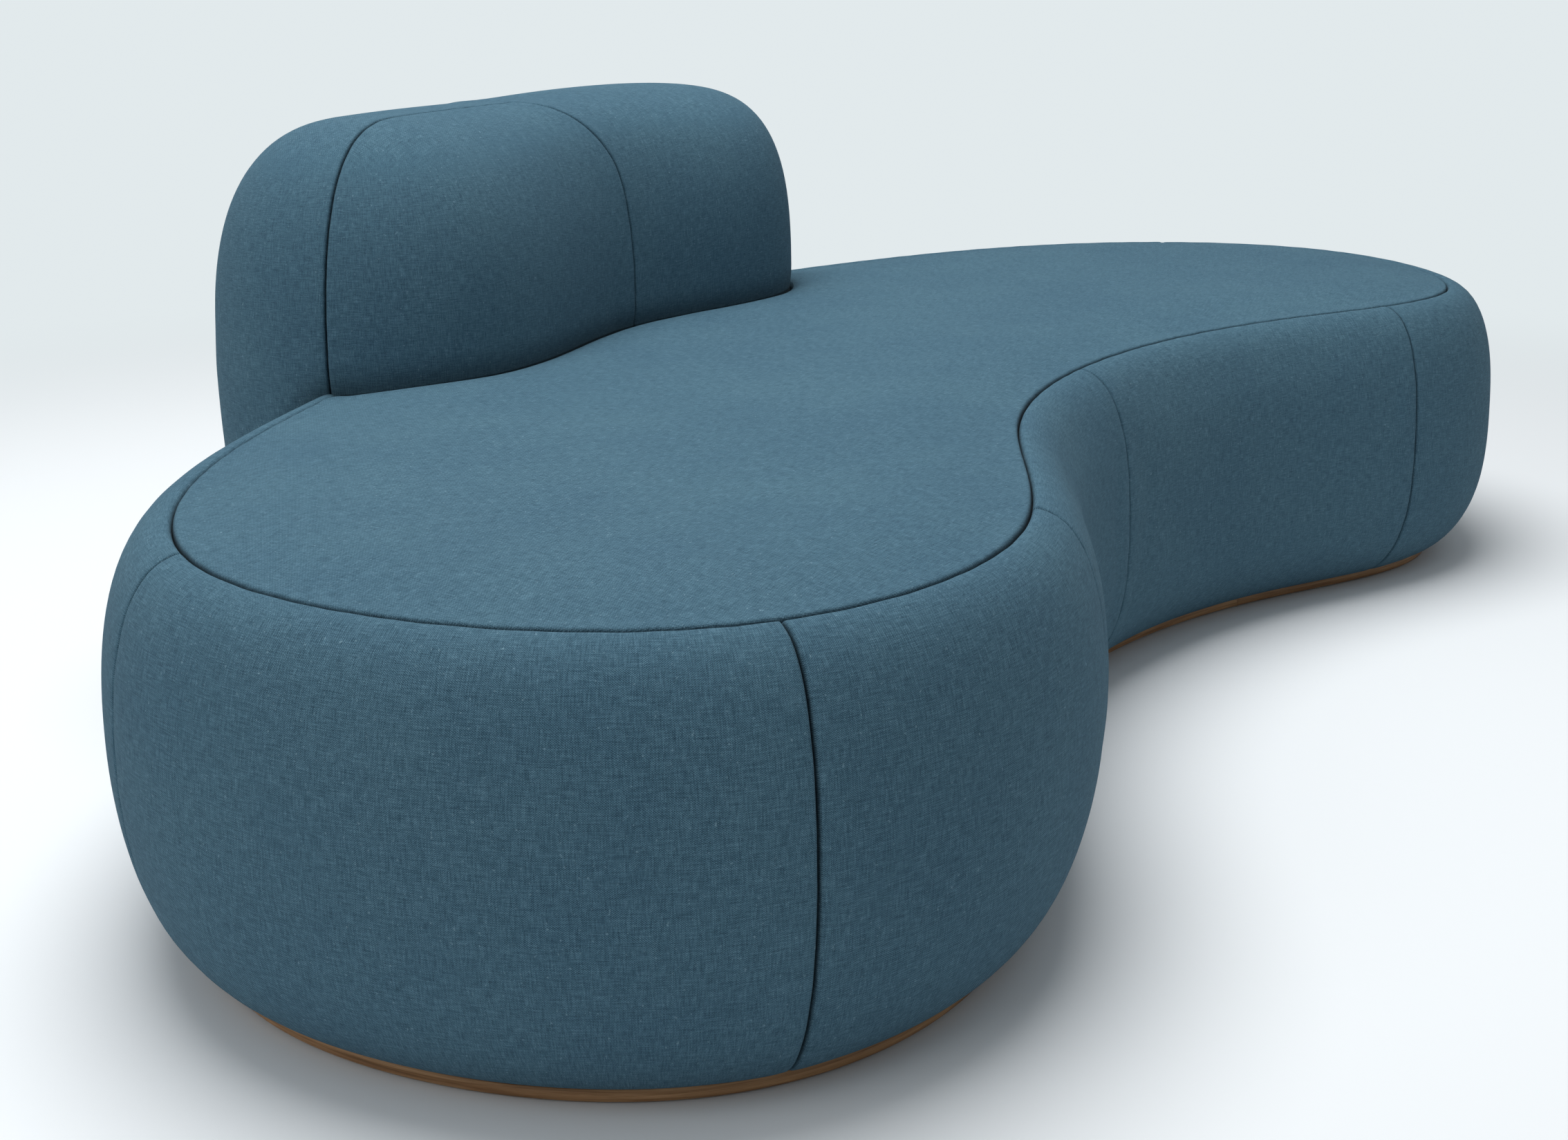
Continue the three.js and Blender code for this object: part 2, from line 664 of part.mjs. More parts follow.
// Steel brackets on the bottom rail, against the rear panel, each held down by a bolt
const bracketShape = new THREE.Shape([
  [0, 0], [railSide * 2 - fitGap, 0], [railSide * 2 - fitGap, bracketRise],
  [railSide * 2 - fitGap - bracketThickness, bracketRise],
  [railSide * 2 - fitGap - bracketThickness, bracketThickness], [0, bracketThickness],
].map(([x, y]) => new THREE.Vector2(x, y)));
boltPlaces.forEach((p, k) => {
  const side = ['left', 'right'][k];
  const shape = new THREE.ExtrudeGeometry(bracketShape, { depth: bracketWidth, bevelEnabled: false });
  shape.rotateX(quarter).rotateZ(quarter);
  shape.translate(boltPlaceShares[k] * 2 * boxHalf - bracketWidth / 2, -railSide, postBottom);
  shape.rotateZ(backTurn).translate(backMiddle.x, backMiddle.y, 0);
  const holes = boltHoles(postBottom - overrun, postBottom + overrun + bracketThickness);
  place(`back_bracket_${side}`, fromSolid(toSolid(shape).subtract(holes)), steel);
  const seat = postBottom + bracketThickness + fitGap;
  const bolt = new THREE.LatheGeometry([
    [0, baseBottom + boltTipSpare], [boltRadius, baseBottom + boltTipSpare], [boltRadius, seat],
    [boltHeadRadius, seat], [boltHeadRadius, seat + boltHeadHeight], [0, seat + boltHeadHeight],
  ].map(([x, y]) => new THREE.Vector2(x, y)), 16);
  bolt.rotateX(quarter);
  place(`back_bolt_${side}`, bolt, steel).position.set(p.x, p.y, 0);
});

// Covers of the backrest: one shell, grooved and parted along its three seams
function backSeamLine(pairs) {
  return [backSeamMeetShares, ...pairs].map(([along, across]) => backPlace(
    (along - 1 / 2) * backSpan, across * backLeftRadius));
}

// An upright curtain along a line seen from above
function curtain(line, width) {
  const half = width / 2;
  const left = [];
  const right = [];
  line.forEach((p, k) => {
    const run0 = p.clone().sub(line[Math.max(k - 1, 0)]).normalize();
    const run1 = line[Math.min(k + 1, line.length - 1)].clone().sub(p).normalize();
    const run = run0.add(run1).normalize();
    const side = new THREE.Vector2(-run.y, run.x).multiplyScalar(half);
    const end = k === 0 ? run.clone().multiplyScalar(-half) : new THREE.Vector2();
    left.push(p.clone().add(side).add(end));
    right.unshift(p.clone().sub(side).add(end));
  });
  return toSolid(prism([...left, ...right], -overrun, backHeight + overrun));
}

const backSeamLines = [
  backSeamLine([...backSeamLeftShares].reverse()),
  backSeamLine(backSeamFrontShares),
  backSeamLine(backSeamRearShares),
];
function curtains(width) {
  return backSeamLines.map((line) => curtain(line, width)).reduce((all, one) => all.add(one));
}
const grooves = curtains(grooveWidth).subtract(backBody(-seamDip, true));
const shell = backBody(0, false)
  .subtract(backBody(-coverThickness, true))
  .subtract(baseRoom)
  .subtract(grooves)
  .subtract(curtains(softGap));
const panels = shell.decompose().sort((a, b) => b.volume() - a.volume()).slice(0, 3);
const reachOf = (solid) => solid.boundingBox();
const rightPanel = panels.reduce((a, b) => (reachOf(a).max[0] > reachOf(b).max[0] ? a : b));
const others = panels.filter((panel) => panel !== rightPanel);
const rearPanel = others.reduce((a, b) => (reachOf(a).max[1] > reachOf(b).max[1] ? a : b));
const frontPanel = others.find((panel) => panel !== rearPanel);
place('back_cover_front', fromSolid(frontPanel), fabric);
place('back_cover_right', fromSolid(rightPanel), fabric);
place('back_cover_rear', fromSolid(rearPanel), fabric);

// The sofa stands centred on its own box
sofa.updateMatrixWorld(true);
const room = new THREE.Box3().setFromObject(sofa, true);
const middle = room.getCenter(new THREE.Vector3());
sofa.position.set(-middle.x, -middle.y, -room.min.z);

export default sofa;
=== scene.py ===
import math
import bmesh
import bpy
import numpy as np
from mathutils import Matrix, Vector
from mathutils.bvhtree import BVHTree
from mathutils.geometry import delaunay_2d_cdt
from mathutils.interpolate import poly_3d_calc


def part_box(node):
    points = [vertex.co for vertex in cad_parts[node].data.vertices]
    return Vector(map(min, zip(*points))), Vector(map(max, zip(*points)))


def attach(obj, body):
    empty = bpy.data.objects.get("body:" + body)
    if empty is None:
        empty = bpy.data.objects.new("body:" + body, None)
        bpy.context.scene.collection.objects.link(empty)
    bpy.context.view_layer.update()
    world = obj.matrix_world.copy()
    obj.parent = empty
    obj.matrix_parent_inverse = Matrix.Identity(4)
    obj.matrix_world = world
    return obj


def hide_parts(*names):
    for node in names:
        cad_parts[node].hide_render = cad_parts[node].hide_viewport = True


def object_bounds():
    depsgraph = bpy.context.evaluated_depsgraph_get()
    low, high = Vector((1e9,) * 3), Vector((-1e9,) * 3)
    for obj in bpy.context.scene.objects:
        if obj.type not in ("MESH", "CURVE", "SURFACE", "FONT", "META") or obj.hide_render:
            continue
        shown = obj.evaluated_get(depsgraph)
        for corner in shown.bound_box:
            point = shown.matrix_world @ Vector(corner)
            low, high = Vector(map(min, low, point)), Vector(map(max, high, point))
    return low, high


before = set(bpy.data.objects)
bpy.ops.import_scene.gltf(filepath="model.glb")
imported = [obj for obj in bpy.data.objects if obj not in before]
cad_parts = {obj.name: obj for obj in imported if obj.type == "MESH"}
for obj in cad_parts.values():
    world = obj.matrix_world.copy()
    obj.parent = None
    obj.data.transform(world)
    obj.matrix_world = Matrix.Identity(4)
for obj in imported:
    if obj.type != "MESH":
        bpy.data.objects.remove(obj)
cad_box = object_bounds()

# The plinth: three flat boards of brown stained wood, side by side, whose rounded edge shows
# as a thin band under the cloth. They are sawn to the sofa's outline, a little proud of the
# cloth's lower edge, and screwed up into the base from below.

seat_length, seat_depth, side_bulge, side_tuck = 2.462, 1.188, 0.074, 0.084
seam_height, bulge_height, cloth_foot = 0.400, 0.213, 0.014
foot_out = side_bulge - side_tuck
sofa_shift = cad_box[0].y + seat_depth / 2
seat_outline_shares = np.array([
    (-0.77, 0.58), (-1.05, 0.04), (-0.97, -0.92), (-0.59, -1.10), (-0.26, -0.56),
    (0.11, -0.49), (0.42, -0.71), (0.71, -1.19), (1.07, -0.50), (0.94, 0.30),
    (0.62, 0.70), (0.28, 0.94), (-0.08, 1.05), (-0.41, 0.82)])


def unit(v):
    """Vectors brought to a length of one."""
    return v / np.linalg.norm(v, axis=-1, keepdims=True)


def outward(run):
    """Normals on the right of a line's run, seen from above."""
    run = unit(run)
    return np.stack([run[:, 1], -run[:, 0]], 1)


def closed(loop):
    return np.concatenate([loop, loop[:1]])


def way_along(line):
    """How far each point of a line lies along it."""
    return np.r_[0, np.cumsum(np.linalg.norm(np.diff(line, axis=0), axis=1))]


def read_off(at, way, table):
    """The columns of a table, each read off at places along its way."""
    return np.stack([np.interp(at, way, table[:, k]) for k in range(table.shape[1])], 1)


def round_steps(stop, count):
    """Even steps round a loop, without its end."""
    return np.linspace(0, stop, count, endpoint=False)


def seat_line(count):
    """The seat's seam line: points, outward normals and the way round, in fine even steps."""
    n = len(seat_outline_shares)
    u = round_steps(n, count)
    i = np.floor(u).astype(int)
    t = (u - i)[:, None]
    pulls = ((1 - t) ** 3, 3 * t ** 3 - 6 * t ** 2 + 4, -3 * t ** 3 + 3 * t ** 2 + 3 * t + 1, t ** 3)
    line = sum(w / 6 * seat_outline_shares[(i + k - 1) % n] for k, w in enumerate(pulls))
    low, high = line.min(0), line.max(0)
    size = np.array((seat_length - 2 * side_bulge, seat_depth - 2 * side_bulge))
    line = (line - (low + high) / 2) / (high - low) * size + (0, sofa_shift)
    return line, outward(np.roll(line, -1, 0) - np.roll(line, 1, 0)), way_along(closed(line))


fine_line, fine_normal, fine_way = seat_line(5600)
way_round = fine_way[-1]


def seat_stations(ways):
    """Points and normals of the seam line at given ways round it."""
    ways = np.asarray(ways) % way_round
    return [read_off(ways, fine_way, closed(table)) for table in (fine_line, fine_normal)]


back_left, back_right = np.array((-0.348, 0.491 + sofa_shift)), np.array((0.278, 0.507 + sofa_shift))
back_left_radius, back_right_radius, back_dip = 0.201, 0.206, 0.044
back_top, back_bulge_height = 0.697, 0.395
back_span = np.linalg.norm(back_right - back_left)
back_along = (back_right - back_left) / back_span
back_across = np.array((-back_along[1], back_along[0]))


def back_edge(c):
    """The backrest's widest outline: 0 to 1 front, 1 to 2 right end, 2 to 3 rear, 3 to 4 left end."""
    c = np.asarray(c, float) % 4
    share = np.where(c < 1, c, np.where(c < 2, 1, np.where(c < 3, 3 - c, 0)))
    spine = back_left + share[:, None] * (back_right - back_left)
    half = back_left_radius + (back_right_radius - back_left_radius) * (3 * share ** 2 - 2 * share ** 3)
    dip = back_dip * np.sin(np.pi * share) ** 2
    turn = np.where(c < 2, (c - 1) * np.pi - np.pi / 2, (c - 3) * np.pi + np.pi / 2)
    turn += math.atan2(back_along[1], back_along[0])
    arm = np.stack([np.cos(turn), np.sin(turn)], 1) * half[:, None]
    front = back_across * (dip - half)[:, None]
    rear = back_across * half[:, None]
    flat = np.where((c < 1)[:, None], front, np.where(((c >= 2) & (c < 3))[:, None], rear, arm))
    return spine + flat, spine, share


def back_normal(c):
    step = 1e-3
    return outward(back_edge(np.asarray(c) + step)[0] - back_edge(np.asarray(c) - step)[0])


def clean_outline(points):
    """A loop without the neighbours that lie closer than half a millimetre."""
    kept = [points[0]]
    for p in points[1:]:
        if np.linalg.norm(p - kept[-1]) > 5e-4:
            kept.append(p)
    return np.array(kept)


def inside_loop(points, loop):
    """Which points lie inside a closed loop, seen from above."""
    x, y = points[:, 0][:, None], points[:, 1][:, None]
    x0, y0 = loop[:, 0][None], loop[:, 1][None]
    x1, y1 = np.roll(loop[:, 0], -1)[None], np.roll(loop[:, 1], -1)[None]
    crosses = (y0 > y) != (y1 > y)
    at = x0 + (y - y0) * (x1 - x0) / np.where(y1 == y0, 1e-12, y1 - y0)
    return (crosses & (x < at)).sum(1) % 2 == 1


def stretch_outside(loop, other):
    """The one stretch of a loop that lies outside another loop."""
    hidden = inside_loop(loop, other)
    start = int(np.argmax(hidden & ~np.roll(hidden, -1)))
    return np.roll(loop, -start - 1, 0)[:len(loop) - int(hidden.sum())]


def joined_outline(seat_out, back_inset):
    """Outline of the whole sofa: the seat's loop joined with the backrest's where that juts out."""
    point, normal = seat_stations(np.arange(0, way_round, 0.008))
    seat = point + normal * seat_out
    c = round_steps(4, 320)
    back = back_edge(c)[0] - back_normal(c) * back_inset
    return clean_outline(np.vstack([stretch_outside(seat, back), stretch_outside(back, seat)]))


def new_piece(name, data):
    """A new object in the scene."""
    piece = bpy.data.objects.new(name, data)
    bpy.context.collection.objects.link(piece)
    return piece


def piece_from(bm, name):
    """A closed shape as a piece, with its many-sided faces split and all faces outwards."""
    bmesh.ops.triangulate(bm, faces=[f for f in bm.faces if len(f.verts) > 4])
    bmesh.ops.recalc_face_normals(bm, faces=bm.faces)
    mesh = bpy.data.meshes.new(name)
    bm.to_mesh(mesh)
    bm.free()
    return new_piece(name, mesh)


def plank(name, loop, bottom, top, ease):
    """A flat board with eased edges; its map runs along the edge and up it."""
    inner = loop - outward(np.roll(loop, -1, 0) - np.roll(loop, 1, 0)) * ease
    heights = (bottom, bottom + ease, top - ease, top)
    bm = bmesh.new()
    grain = bm.loops.layers.uv.new("grain")
    rings = [[bm.verts.new((x, y, z)) for x, y in ring]
             for ring, z in zip((inner, loop, loop, inner), heights)]
    way = way_along(closed(loop))
    n = len(loop)
    for r in range(3):
        for k in range(n):
            m = (k + 1) % n
            face = bm.faces.new((rings[r][k], rings[r][m], rings[r + 1][m], rings[r + 1][k]))
            face.smooth = r == 1
            for corner, (a, h) in zip(face.loops, ((k, r), (k + 1, r), (k + 1, r + 1), (k, r + 1))):
                corner[grain].uv = (way[a], heights[h])
    for ring in (rings[0][::-1], rings[3]):
        for corner in bm.faces.new(ring).loops:
            corner[grain].uv = corner.vert.co.xy
    return piece_from(bm, name)


def fill(tree, node, inputs):
    """Gives each socket of a node a value, or joins it to another node's."""
    for key, value in dict(inputs).items():
        if isinstance(value, bpy.types.NodeSocket):
            tree.links.new(value, node.inputs[key])
        else:
            node.inputs[key].default_value = value


def node_of(tree, kind, inputs=(), **settings):
    """A shader node with its settings and inputs."""
    node = tree.nodes.new(kind)
    for key, value in settings.items():
        setattr(node, key, value)
    fill(tree, node, inputs)
    return node


def new_material(name):
    material = bpy.data.materials.new(name)
    material.use_nodes = True
    tree = material.node_tree
    tree.nodes.clear()
    shader = node_of(tree, "ShaderNodeBsdfPrincipled")
    node_of(tree, "ShaderNodeOutputMaterial", {"Surface": shader.outputs["BSDF"]})
    return material, tree, shader


def stretched(tree, spot, scale):
    """Places scaled up for a pattern, by another amount each way."""
    return node_of(tree, "ShaderNodeMapping", {0: spot, "Scale": scale}).outputs[0]


def noise(tree, spot, scale, detail, **more):
    """An uneven pattern, from 0 to 1."""
    inputs = {"Vector": spot, "Scale": scale, "Detail": detail, **more}
    return node_of(tree, "ShaderNodeTexNoise", inputs).outputs["Fac"]


def ramp(tree, value, *steps):
    """A colour for each value, blended between a few given ones."""
    node = node_of(tree, "ShaderNodeValToRGB", {0: value})
    stops = node.color_ramp.elements
    while len(stops) < len(steps):
        stops.new(0.5)
    for stop, (place, colour) in zip(stops, steps):
        stop.position = place
        stop.color = (*colour, 1)
    return node.outputs["Color"]


def blended(tree, share, one, two, how="MIX"):
    """Two colours mixed or multiplied by a share."""
    inputs = {0: share, 6: one, 7: two}
    return node_of(tree, "ShaderNodeMix", inputs, data_type="RGBA", blend_type=how).outputs[2]


def ranged(tree, value, low, high, start=0.0, end=1.0, **settings):
    """A value carried from one range over to another."""
    inputs = {0: value, 1: low, 2: high, 3: start, 4: end}
    return node_of(tree, "ShaderNodeMapRange", inputs, **settings).outputs[0]


def worked(tree, operation, *values):
    """One sum with values, such as MULTIPLY."""
    return node_of(tree, "ShaderNodeMath", enumerate(values), operation=operation).outputs[0]


def bumps(tree, height, strength, distance):
    inputs = {"Strength": strength, "Distance": distance, "Height": height}
    return node_of(tree, "ShaderNodeBump", inputs).outputs[0]


def stained_wood():
    """Brown wood with its grain along the edge: long streaks, fine pores and darker patches."""
    material, tree, shader = new_material("plinth_stained_wood")
    grain = node_of(tree, "ShaderNodeUVMap", uv_map="grain").outputs["UV"]
    streaks = noise(tree, stretched(tree, grain, (7, 230, 1)), 1, 6, Roughness=0.62, Distortion=0.6)
    pores = noise(tree, stretched(tree, grain, (26, 1500, 1)), 1, 3, Roughness=0.6)
    patches = noise(tree, stretched(tree, grain, (2.1, 20, 1)), 1, 2)
    base = ramp(tree, streaks, (0.28, (0.15, 0.070, 0.028)), (0.45, (0.32, 0.168, 0.072)),
                (0.62, (0.49, 0.285, 0.138)), (0.8, (0.67, 0.450, 0.255)))
    tone = ramp(tree, patches, (0.35, (0.55, 0.5, 0.45)), (0.65, (1.15, 1.12, 1.1)))
    fine = ramp(tree, pores, (0.36, (0.55, 0.5, 0.46)), (0.5, (1, 1, 1)))
    toned = blended(tree, 0.35, base, tone, "MULTIPLY")
    fill(tree, shader, {"Base Color": blended(tree, 0.5, toned, fine, "MULTIPLY"),
                        "Roughness": ranged(tree, streaks, 0.0, 1.0, 0.42, 0.62),
                        "Normal": bumps(tree, pores, 0.35, 0.0006), "Specular IOR Level": 0.35})
    return material


def cut_loop(loop, low, high):
    """The part of a closed outline between two values of X."""
    for limit, sign in ((low, 1), (high, -1)):
        out = []
        for p, q in zip(loop, np.roll(loop, -1, 0)):
            p_in, q_in = sign * (p[0] - limit) >= 0, sign * (q[0] - limit) >= 0
            if p_in:
                out.append(p)
            if p_in != q_in:
                out.append(p + (q - p) * ((limit - p[0]) / (q[0] - p[0])))
        loop = np.array(out)
    return clean_outline(loop)


wood = stained_wood()
plinth_out, plinth_back_inset, plinth_bottom, plinth_top = foot_out + 0.008, 0.076, 0.0023, 0.0137
board_ease, board_joint, joint_gap = 0.0008, 0.42, 0.00015
plinth_loop = joined_outline(plinth_out, plinth_back_inset)
for side, low, high in (("left", -2, -board_joint), ("middle", -board_joint, board_joint),
                        ("right", board_joint, 2)):
    board_loop = cut_loop(plinth_loop, low + joint_gap, high - joint_gap)
    board = plank(f"plinth_{side}", board_loop, plinth_bottom, plinth_top, board_ease)
    board.data.materials.append(wood)
    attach(board, "root")
    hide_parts(f"plinth_board_{side}")


# Glides and screws under the plinth: round felt pads with a soft edge, and countersunk steel
# screws in a row along the edge that hold the boards up to the base. Both are repeated pieces,
# so each is one small shape set out on a list of places.

def evaluated_mesh(piece):
    """The shape that a piece's modifiers give it, as a mesh of its own."""
    graph = bpy.context.evaluated_depsgraph_get()
    return bpy.data.meshes.new_from_object(piece.evaluated_get(graph))


def set_out(name, places, shape_maker, material, radius, height):
    """One small shape on every place, as a plain mesh."""
    spots = bpy.data.meshes.new(name + "_places")
    spots.from_pydata([tuple(p) for p in places], [], [])
    holder = new_piece(name + "_places", spots)
    tree = bpy.data.node_groups.new(name, "GeometryNodeTree")
    face = tree.interface
    face.new_socket("Geometry", in_out="INPUT", socket_type="NodeSocketGeometry")
    sizes = [(face.new_socket(label, in_out="INPUT", socket_type="NodeSocketFloat").identifier, size)
             for label, size in (("Radius", radius), ("Height", height))]
    face.new_socket("Geometry", in_out="OUTPUT", socket_type="NodeSocketGeometry")
    come, leave = tree.nodes.new("NodeGroupInput"), tree.nodes.new("NodeGroupOutput")
    laid_out = node_of(tree, "GeometryNodeInstanceOnPoints", {
        "Points": come.outputs["Geometry"], "Instance": shape_maker(tree, come)})
    real = node_of(tree, "GeometryNodeRealizeInstances", {"Geometry": laid_out.outputs[0]})
    clad = node_of(tree, "GeometryNodeSetMaterial", {
        "Geometry": real.outputs[0], "Material": material})
    tree.links.new(clad.outputs[0], leave.inputs[0])
    maker = holder.modifiers.new("set_out", "NODES")
    maker.node_group = tree
    for identifier, size in sizes:
        maker[identifier] = size
    piece = new_piece(name, evaluated_mesh(holder))
    bpy.data.objects.remove(holder)
    return piece


def pad_shape(tree, come):
    """A disc whose rim is drawn in a little at both faces."""
    disc = node_of(tree, "GeometryNodeMeshCylinder", {
        "Vertices": 40, "Side Segments": 4, "Fill Segments": 1, "Radius": 1.0, "Depth": 1.0})
    place = node_of(tree, "GeometryNodeInputPosition").outputs[0]
    level = node_of(tree, "ShaderNodeSeparateXYZ", {0: place}).outputs[2]
    draw = ranged(tree, worked(tree, "ABSOLUTE", level), 0.25, 0.5, 1.0, 0.94)
    wide = worked(tree, "MULTIPLY", draw, come.outputs["Radius"])
    size = node_of(tree, "ShaderNodeCombineXYZ", {0: wide, 1: wide, 2: come.outputs["Height"]})
    moved = node_of(tree, "ShaderNodeVectorMath", {0: place, 1: size.outputs[0]}, operation="MULTIPLY")
    shaped = node_of(tree, "GeometryNodeSetPosition", {
        "Geometry": disc.outputs["Mesh"], "Position": moved.outputs[0]})
    return shaped.outputs[0]


def screw_shape(tree, come):
    """A flat countersunk head, narrower above."""
    head = node_of(tree, "GeometryNodeMeshCone", {
        "Vertices": 20, "Side Segments": 1, "Radius Top": 0.35, "Radius Bottom": 1.0, "Depth": 1.0})
    size = node_of(tree, "ShaderNodeCombineXYZ", {
        0: come.outputs["Radius"], 1: come.outputs["Radius"], 2: come.outputs["Height"]})
    shaped = node_of(tree, "GeometryNodeTransform", {
        "Geometry": head.outputs["Mesh"], "Scale": size.outputs[0]})
    return shaped.outputs[0]


def own_places(tree):
    """Places on the piece itself, for patterns that stay on it."""
    return node_of(tree, "ShaderNodeTexCoord").outputs["Object"]


def pressed_felt():
    """Grey pressed felt: short fibres that lie every way."""
    material, tree, shader = new_material("glide_felt")
    fibre = noise(tree, own_places(tree), 900, 6, Roughness=0.75, Distortion=1.5)
    shade = ramp(tree, fibre, (0.3, (0.045, 0.047, 0.05)), (0.7, (0.14, 0.145, 0.15)))
    fill(tree, shader, {"Base Color": shade, "Normal": bumps(tree, fibre, 0.6, 0.0005),
                        "Roughness": 1.0})
    return material


def plated_steel():
    """Zinc plated steel: dull bright metal with a faint mottle."""
    material, tree, shader = new_material("zinc_steel")
    mottle = noise(tree, own_places(tree), 220, 4)
    shade = ramp(tree, mottle, (0.3, (0.42, 0.44, 0.45)), (0.7, (0.62, 0.64, 0.65)))
    fill(tree, shader, {"Base Color": shade, "Metallic": 1.0,
                        "Roughness": ranged(tree, mottle, 0.0, 1.0, 0.28, 0.45)})
    return material


felt, steel = pressed_felt(), plated_steel()
glide_nodes = [f"glide_{k}" for k in range(1, 7)]
glide_places = [(low + high) / 2 for low, high in map(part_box, glide_nodes)]
glides = set_out("glides", glide_places, pad_shape, felt, radius=0.020, height=0.002)
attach(glides, "root")
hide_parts(*[f"glide_{k}" for k in range(1, 7)])

screw_inset, screw_spacing, glide_room, joint_room = 0.03, 0.16, 0.035, 0.012
screw_loop = joined_outline(plinth_out - screw_inset, plinth_back_inset + screw_inset)
screw_step = max(1, round(screw_spacing / np.linalg.norm(screw_loop[1] - screw_loop[0])))
screw_places = [(x, y, plinth_bottom - 0.0001) for x, y in screw_loop[::screw_step]
                if all(math.hypot(x - g.x, y - g.y) > glide_room for g in glide_places)
                and abs(abs(x) - board_joint) > joint_room]
screws = set_out("plinth_screws", screw_places, screw_shape, steel, radius=0.0045, height=0.002)
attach(screws, "root")


# Base, ribs, fascia, deck and the backrest's box: birch plywood that the cloth hides. The
# boards keep their CAD shapes. Two plated brackets and bolts hold the box to the base.

def birch_ply():
    """Pale birch: fine fibres along the board, and faint bands where the plies show."""
    material, tree, shader = new_material("birch_plywood")
    spot = own_places(tree)
    fibre = noise(tree, stretched(tree, spot, (5, 120, 120)), 1, 5, Distortion=0.8)
    plies = node_of(tree, "ShaderNodeTexWave", {
        "Vector": spot, "Scale": 110, "Distortion": 0.6, "Detail": 1},
        wave_type="BANDS", bands_direction="Z")
    shade = ramp(tree, fibre, (0.3, (0.5, 0.36, 0.2)), (0.7, (0.72, 0.56, 0.36)))
    banded = blended(tree, 0.18, shade, plies.outputs["Color"], "MULTIPLY")
    fill(tree, shader, {"Base Color": banded, "Roughness": 0.62})
    return material


ply = birch_ply()
ply_nodes = ("base_board", "rib_", "fascia", "deck_board", "back_panel", "back_rail", "back_post")
steel_nodes = ("back_bracket", "back_bolt")
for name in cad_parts:
    for starts, look in ((ply_nodes, ply), (steel_nodes, steel)):
        if name.startswith(starts):
            for slot in bpy.data.objects[name].material_slots:
                slot.material = look


# The seat's side: seven padded panels of blue cloth over foam. Each swells out from the top
# seam and draws in under the seat. Neighbours are sewn face to face, so every edge turns in
# and the cloth stands a little proud beside the seam.

edge_gap, rim_depth, foam_depth = 0.00015, 0.012, 0.034
edge_steps = [edge_gap, 0.0006, 0.0013, 0.0023, 0.0038, 0.006, 0.009, 0.013, 0.018, 0.025]
seam_depth, seam_softness, top_seam_softness = 0.0085, 0.0009, 0.0018
lip_height, lip_reach, pucker_depth, stitch_pull = 0.0007, 0.014, 0.00022, 0.014
panel_step, swell_step, swell_rows, swell_fade = 0.0105, 0.021, 26, 0.02
seam_shares = (0.053, 0.1553, 0.2277, 0.3443, 0.4612, 0.62, 0.84, 1.053)
swell_cap, far_fullness, near_slack, slack_fade = 0.005, 0.006, 0.0014, 0.02
side_waviness, waviness_fade = 0.0008, 0.05


def turn_in(d, soft=seam_softness):
    """How deep the cloth turns down into its seam at a distance from it."""
    return seam_depth * np.exp(-d / soft)


def proud_lip(d):
    """How far the cloth stands proud beside its seam."""
    return lip_height * (d / lip_reach) * np.exp(1 - d / lip_reach)


def slow_wave(x, y, z):
    """A smooth uneven swell, at most about one, with no grid to it."""
    parts = ((7.1, 3.3, 5.7, 0.3), (-4.3, 9.7, 2.9, 1.7), (11.3, -6.1, -8.3, 4.1),
             (-13.1, -10.9, 7.9, 2.6), (5.3, 14.9, -11.7, 5.2))
    return sum(np.sin(a * x + b * y + c * z + d) for a, b, c, d in parts) / 3.2


def seam_pucker(way, d):
    """Small dimples along a seam where the stitching draws the cloth."""
    beat = np.sin(way * 2 * np.pi / 0.047 + 1.3 * np.sin(way * 23))
    beat = beat + 0.6 * np.sin(way * 2 * np.pi / 0.083)
    return pucker_depth * beat * np.exp(-np.maximum(d, 0) / stitch_pull)


def fade_in(d, reach):
    """Nought at a line, towards one away from it."""
    return 1 - np.exp(-d / reach)


def spread(length, step, both=True):
    """Places along a panel: close together at a seam, even in between."""
    start = np.array(edge_steps)
    stop = length - start[::-1] if both else np.array([length])
    low, high = start[-1], stop[0] if both else length
    count = max(2, round((high - low) / step))
    return np.r_[start, np.linspace(low, high, count + 1)[1:-1], stop]


def side_profile():
    """The side in a cut, from the top seam to the foot: out, height and the way down it."""
    turn = np.linspace(0, np.pi / 2, 400)
    sin, cos = np.sin(turn), np.abs(np.cos(turn))
    out = np.r_[side_bulge * sin ** (2 / 2.3), (foot_out + side_tuck * cos ** (2 / 2.05))[1:]]
    high = np.r_[bulge_height + (seam_height - bulge_height) * cos ** (2 / 2.3),
                 (bulge_height - (bulge_height - cloth_foot) * sin ** (2 / 2.05))[1:]]
    way = np.r_[0, np.cumsum(np.hypot(np.diff(out), np.diff(high)))]
    return out, high, way


profile_out, profile_high, profile_way = side_profile()
side_drop = profile_way[-1]


def side_surface(ways, rows):
    """Points and outward normals of the seat's side on a grid of ways round and ways down."""
    point, normal = seat_stations(ways)
    out, high = (np.interp(rows, profile_way, v) for v in (profile_out, profile_high))
    run_out, run_high = (np.interp(rows, profile_way, np.gradient(v, profile_way))
                         for v in (profile_out, profile_high))
    run_out, run_high = np.r_[1, run_out[1:-1], -1], np.r_[0, run_high[1:-1], 0]
    size = np.hypot(run_out, run_high)
    flat = point[:, None] + normal[:, None] * out[None, :, None]
    tilt = normal[:, None] * (-run_high / size)[None, :, None]
    high, lift = (np.broadcast_to(v[None, :, None], (len(ways), len(rows), 1))
                  for v in (high, run_out / size))
    return np.concatenate([flat, high], 2), np.concatenate([tilt, lift], 2)


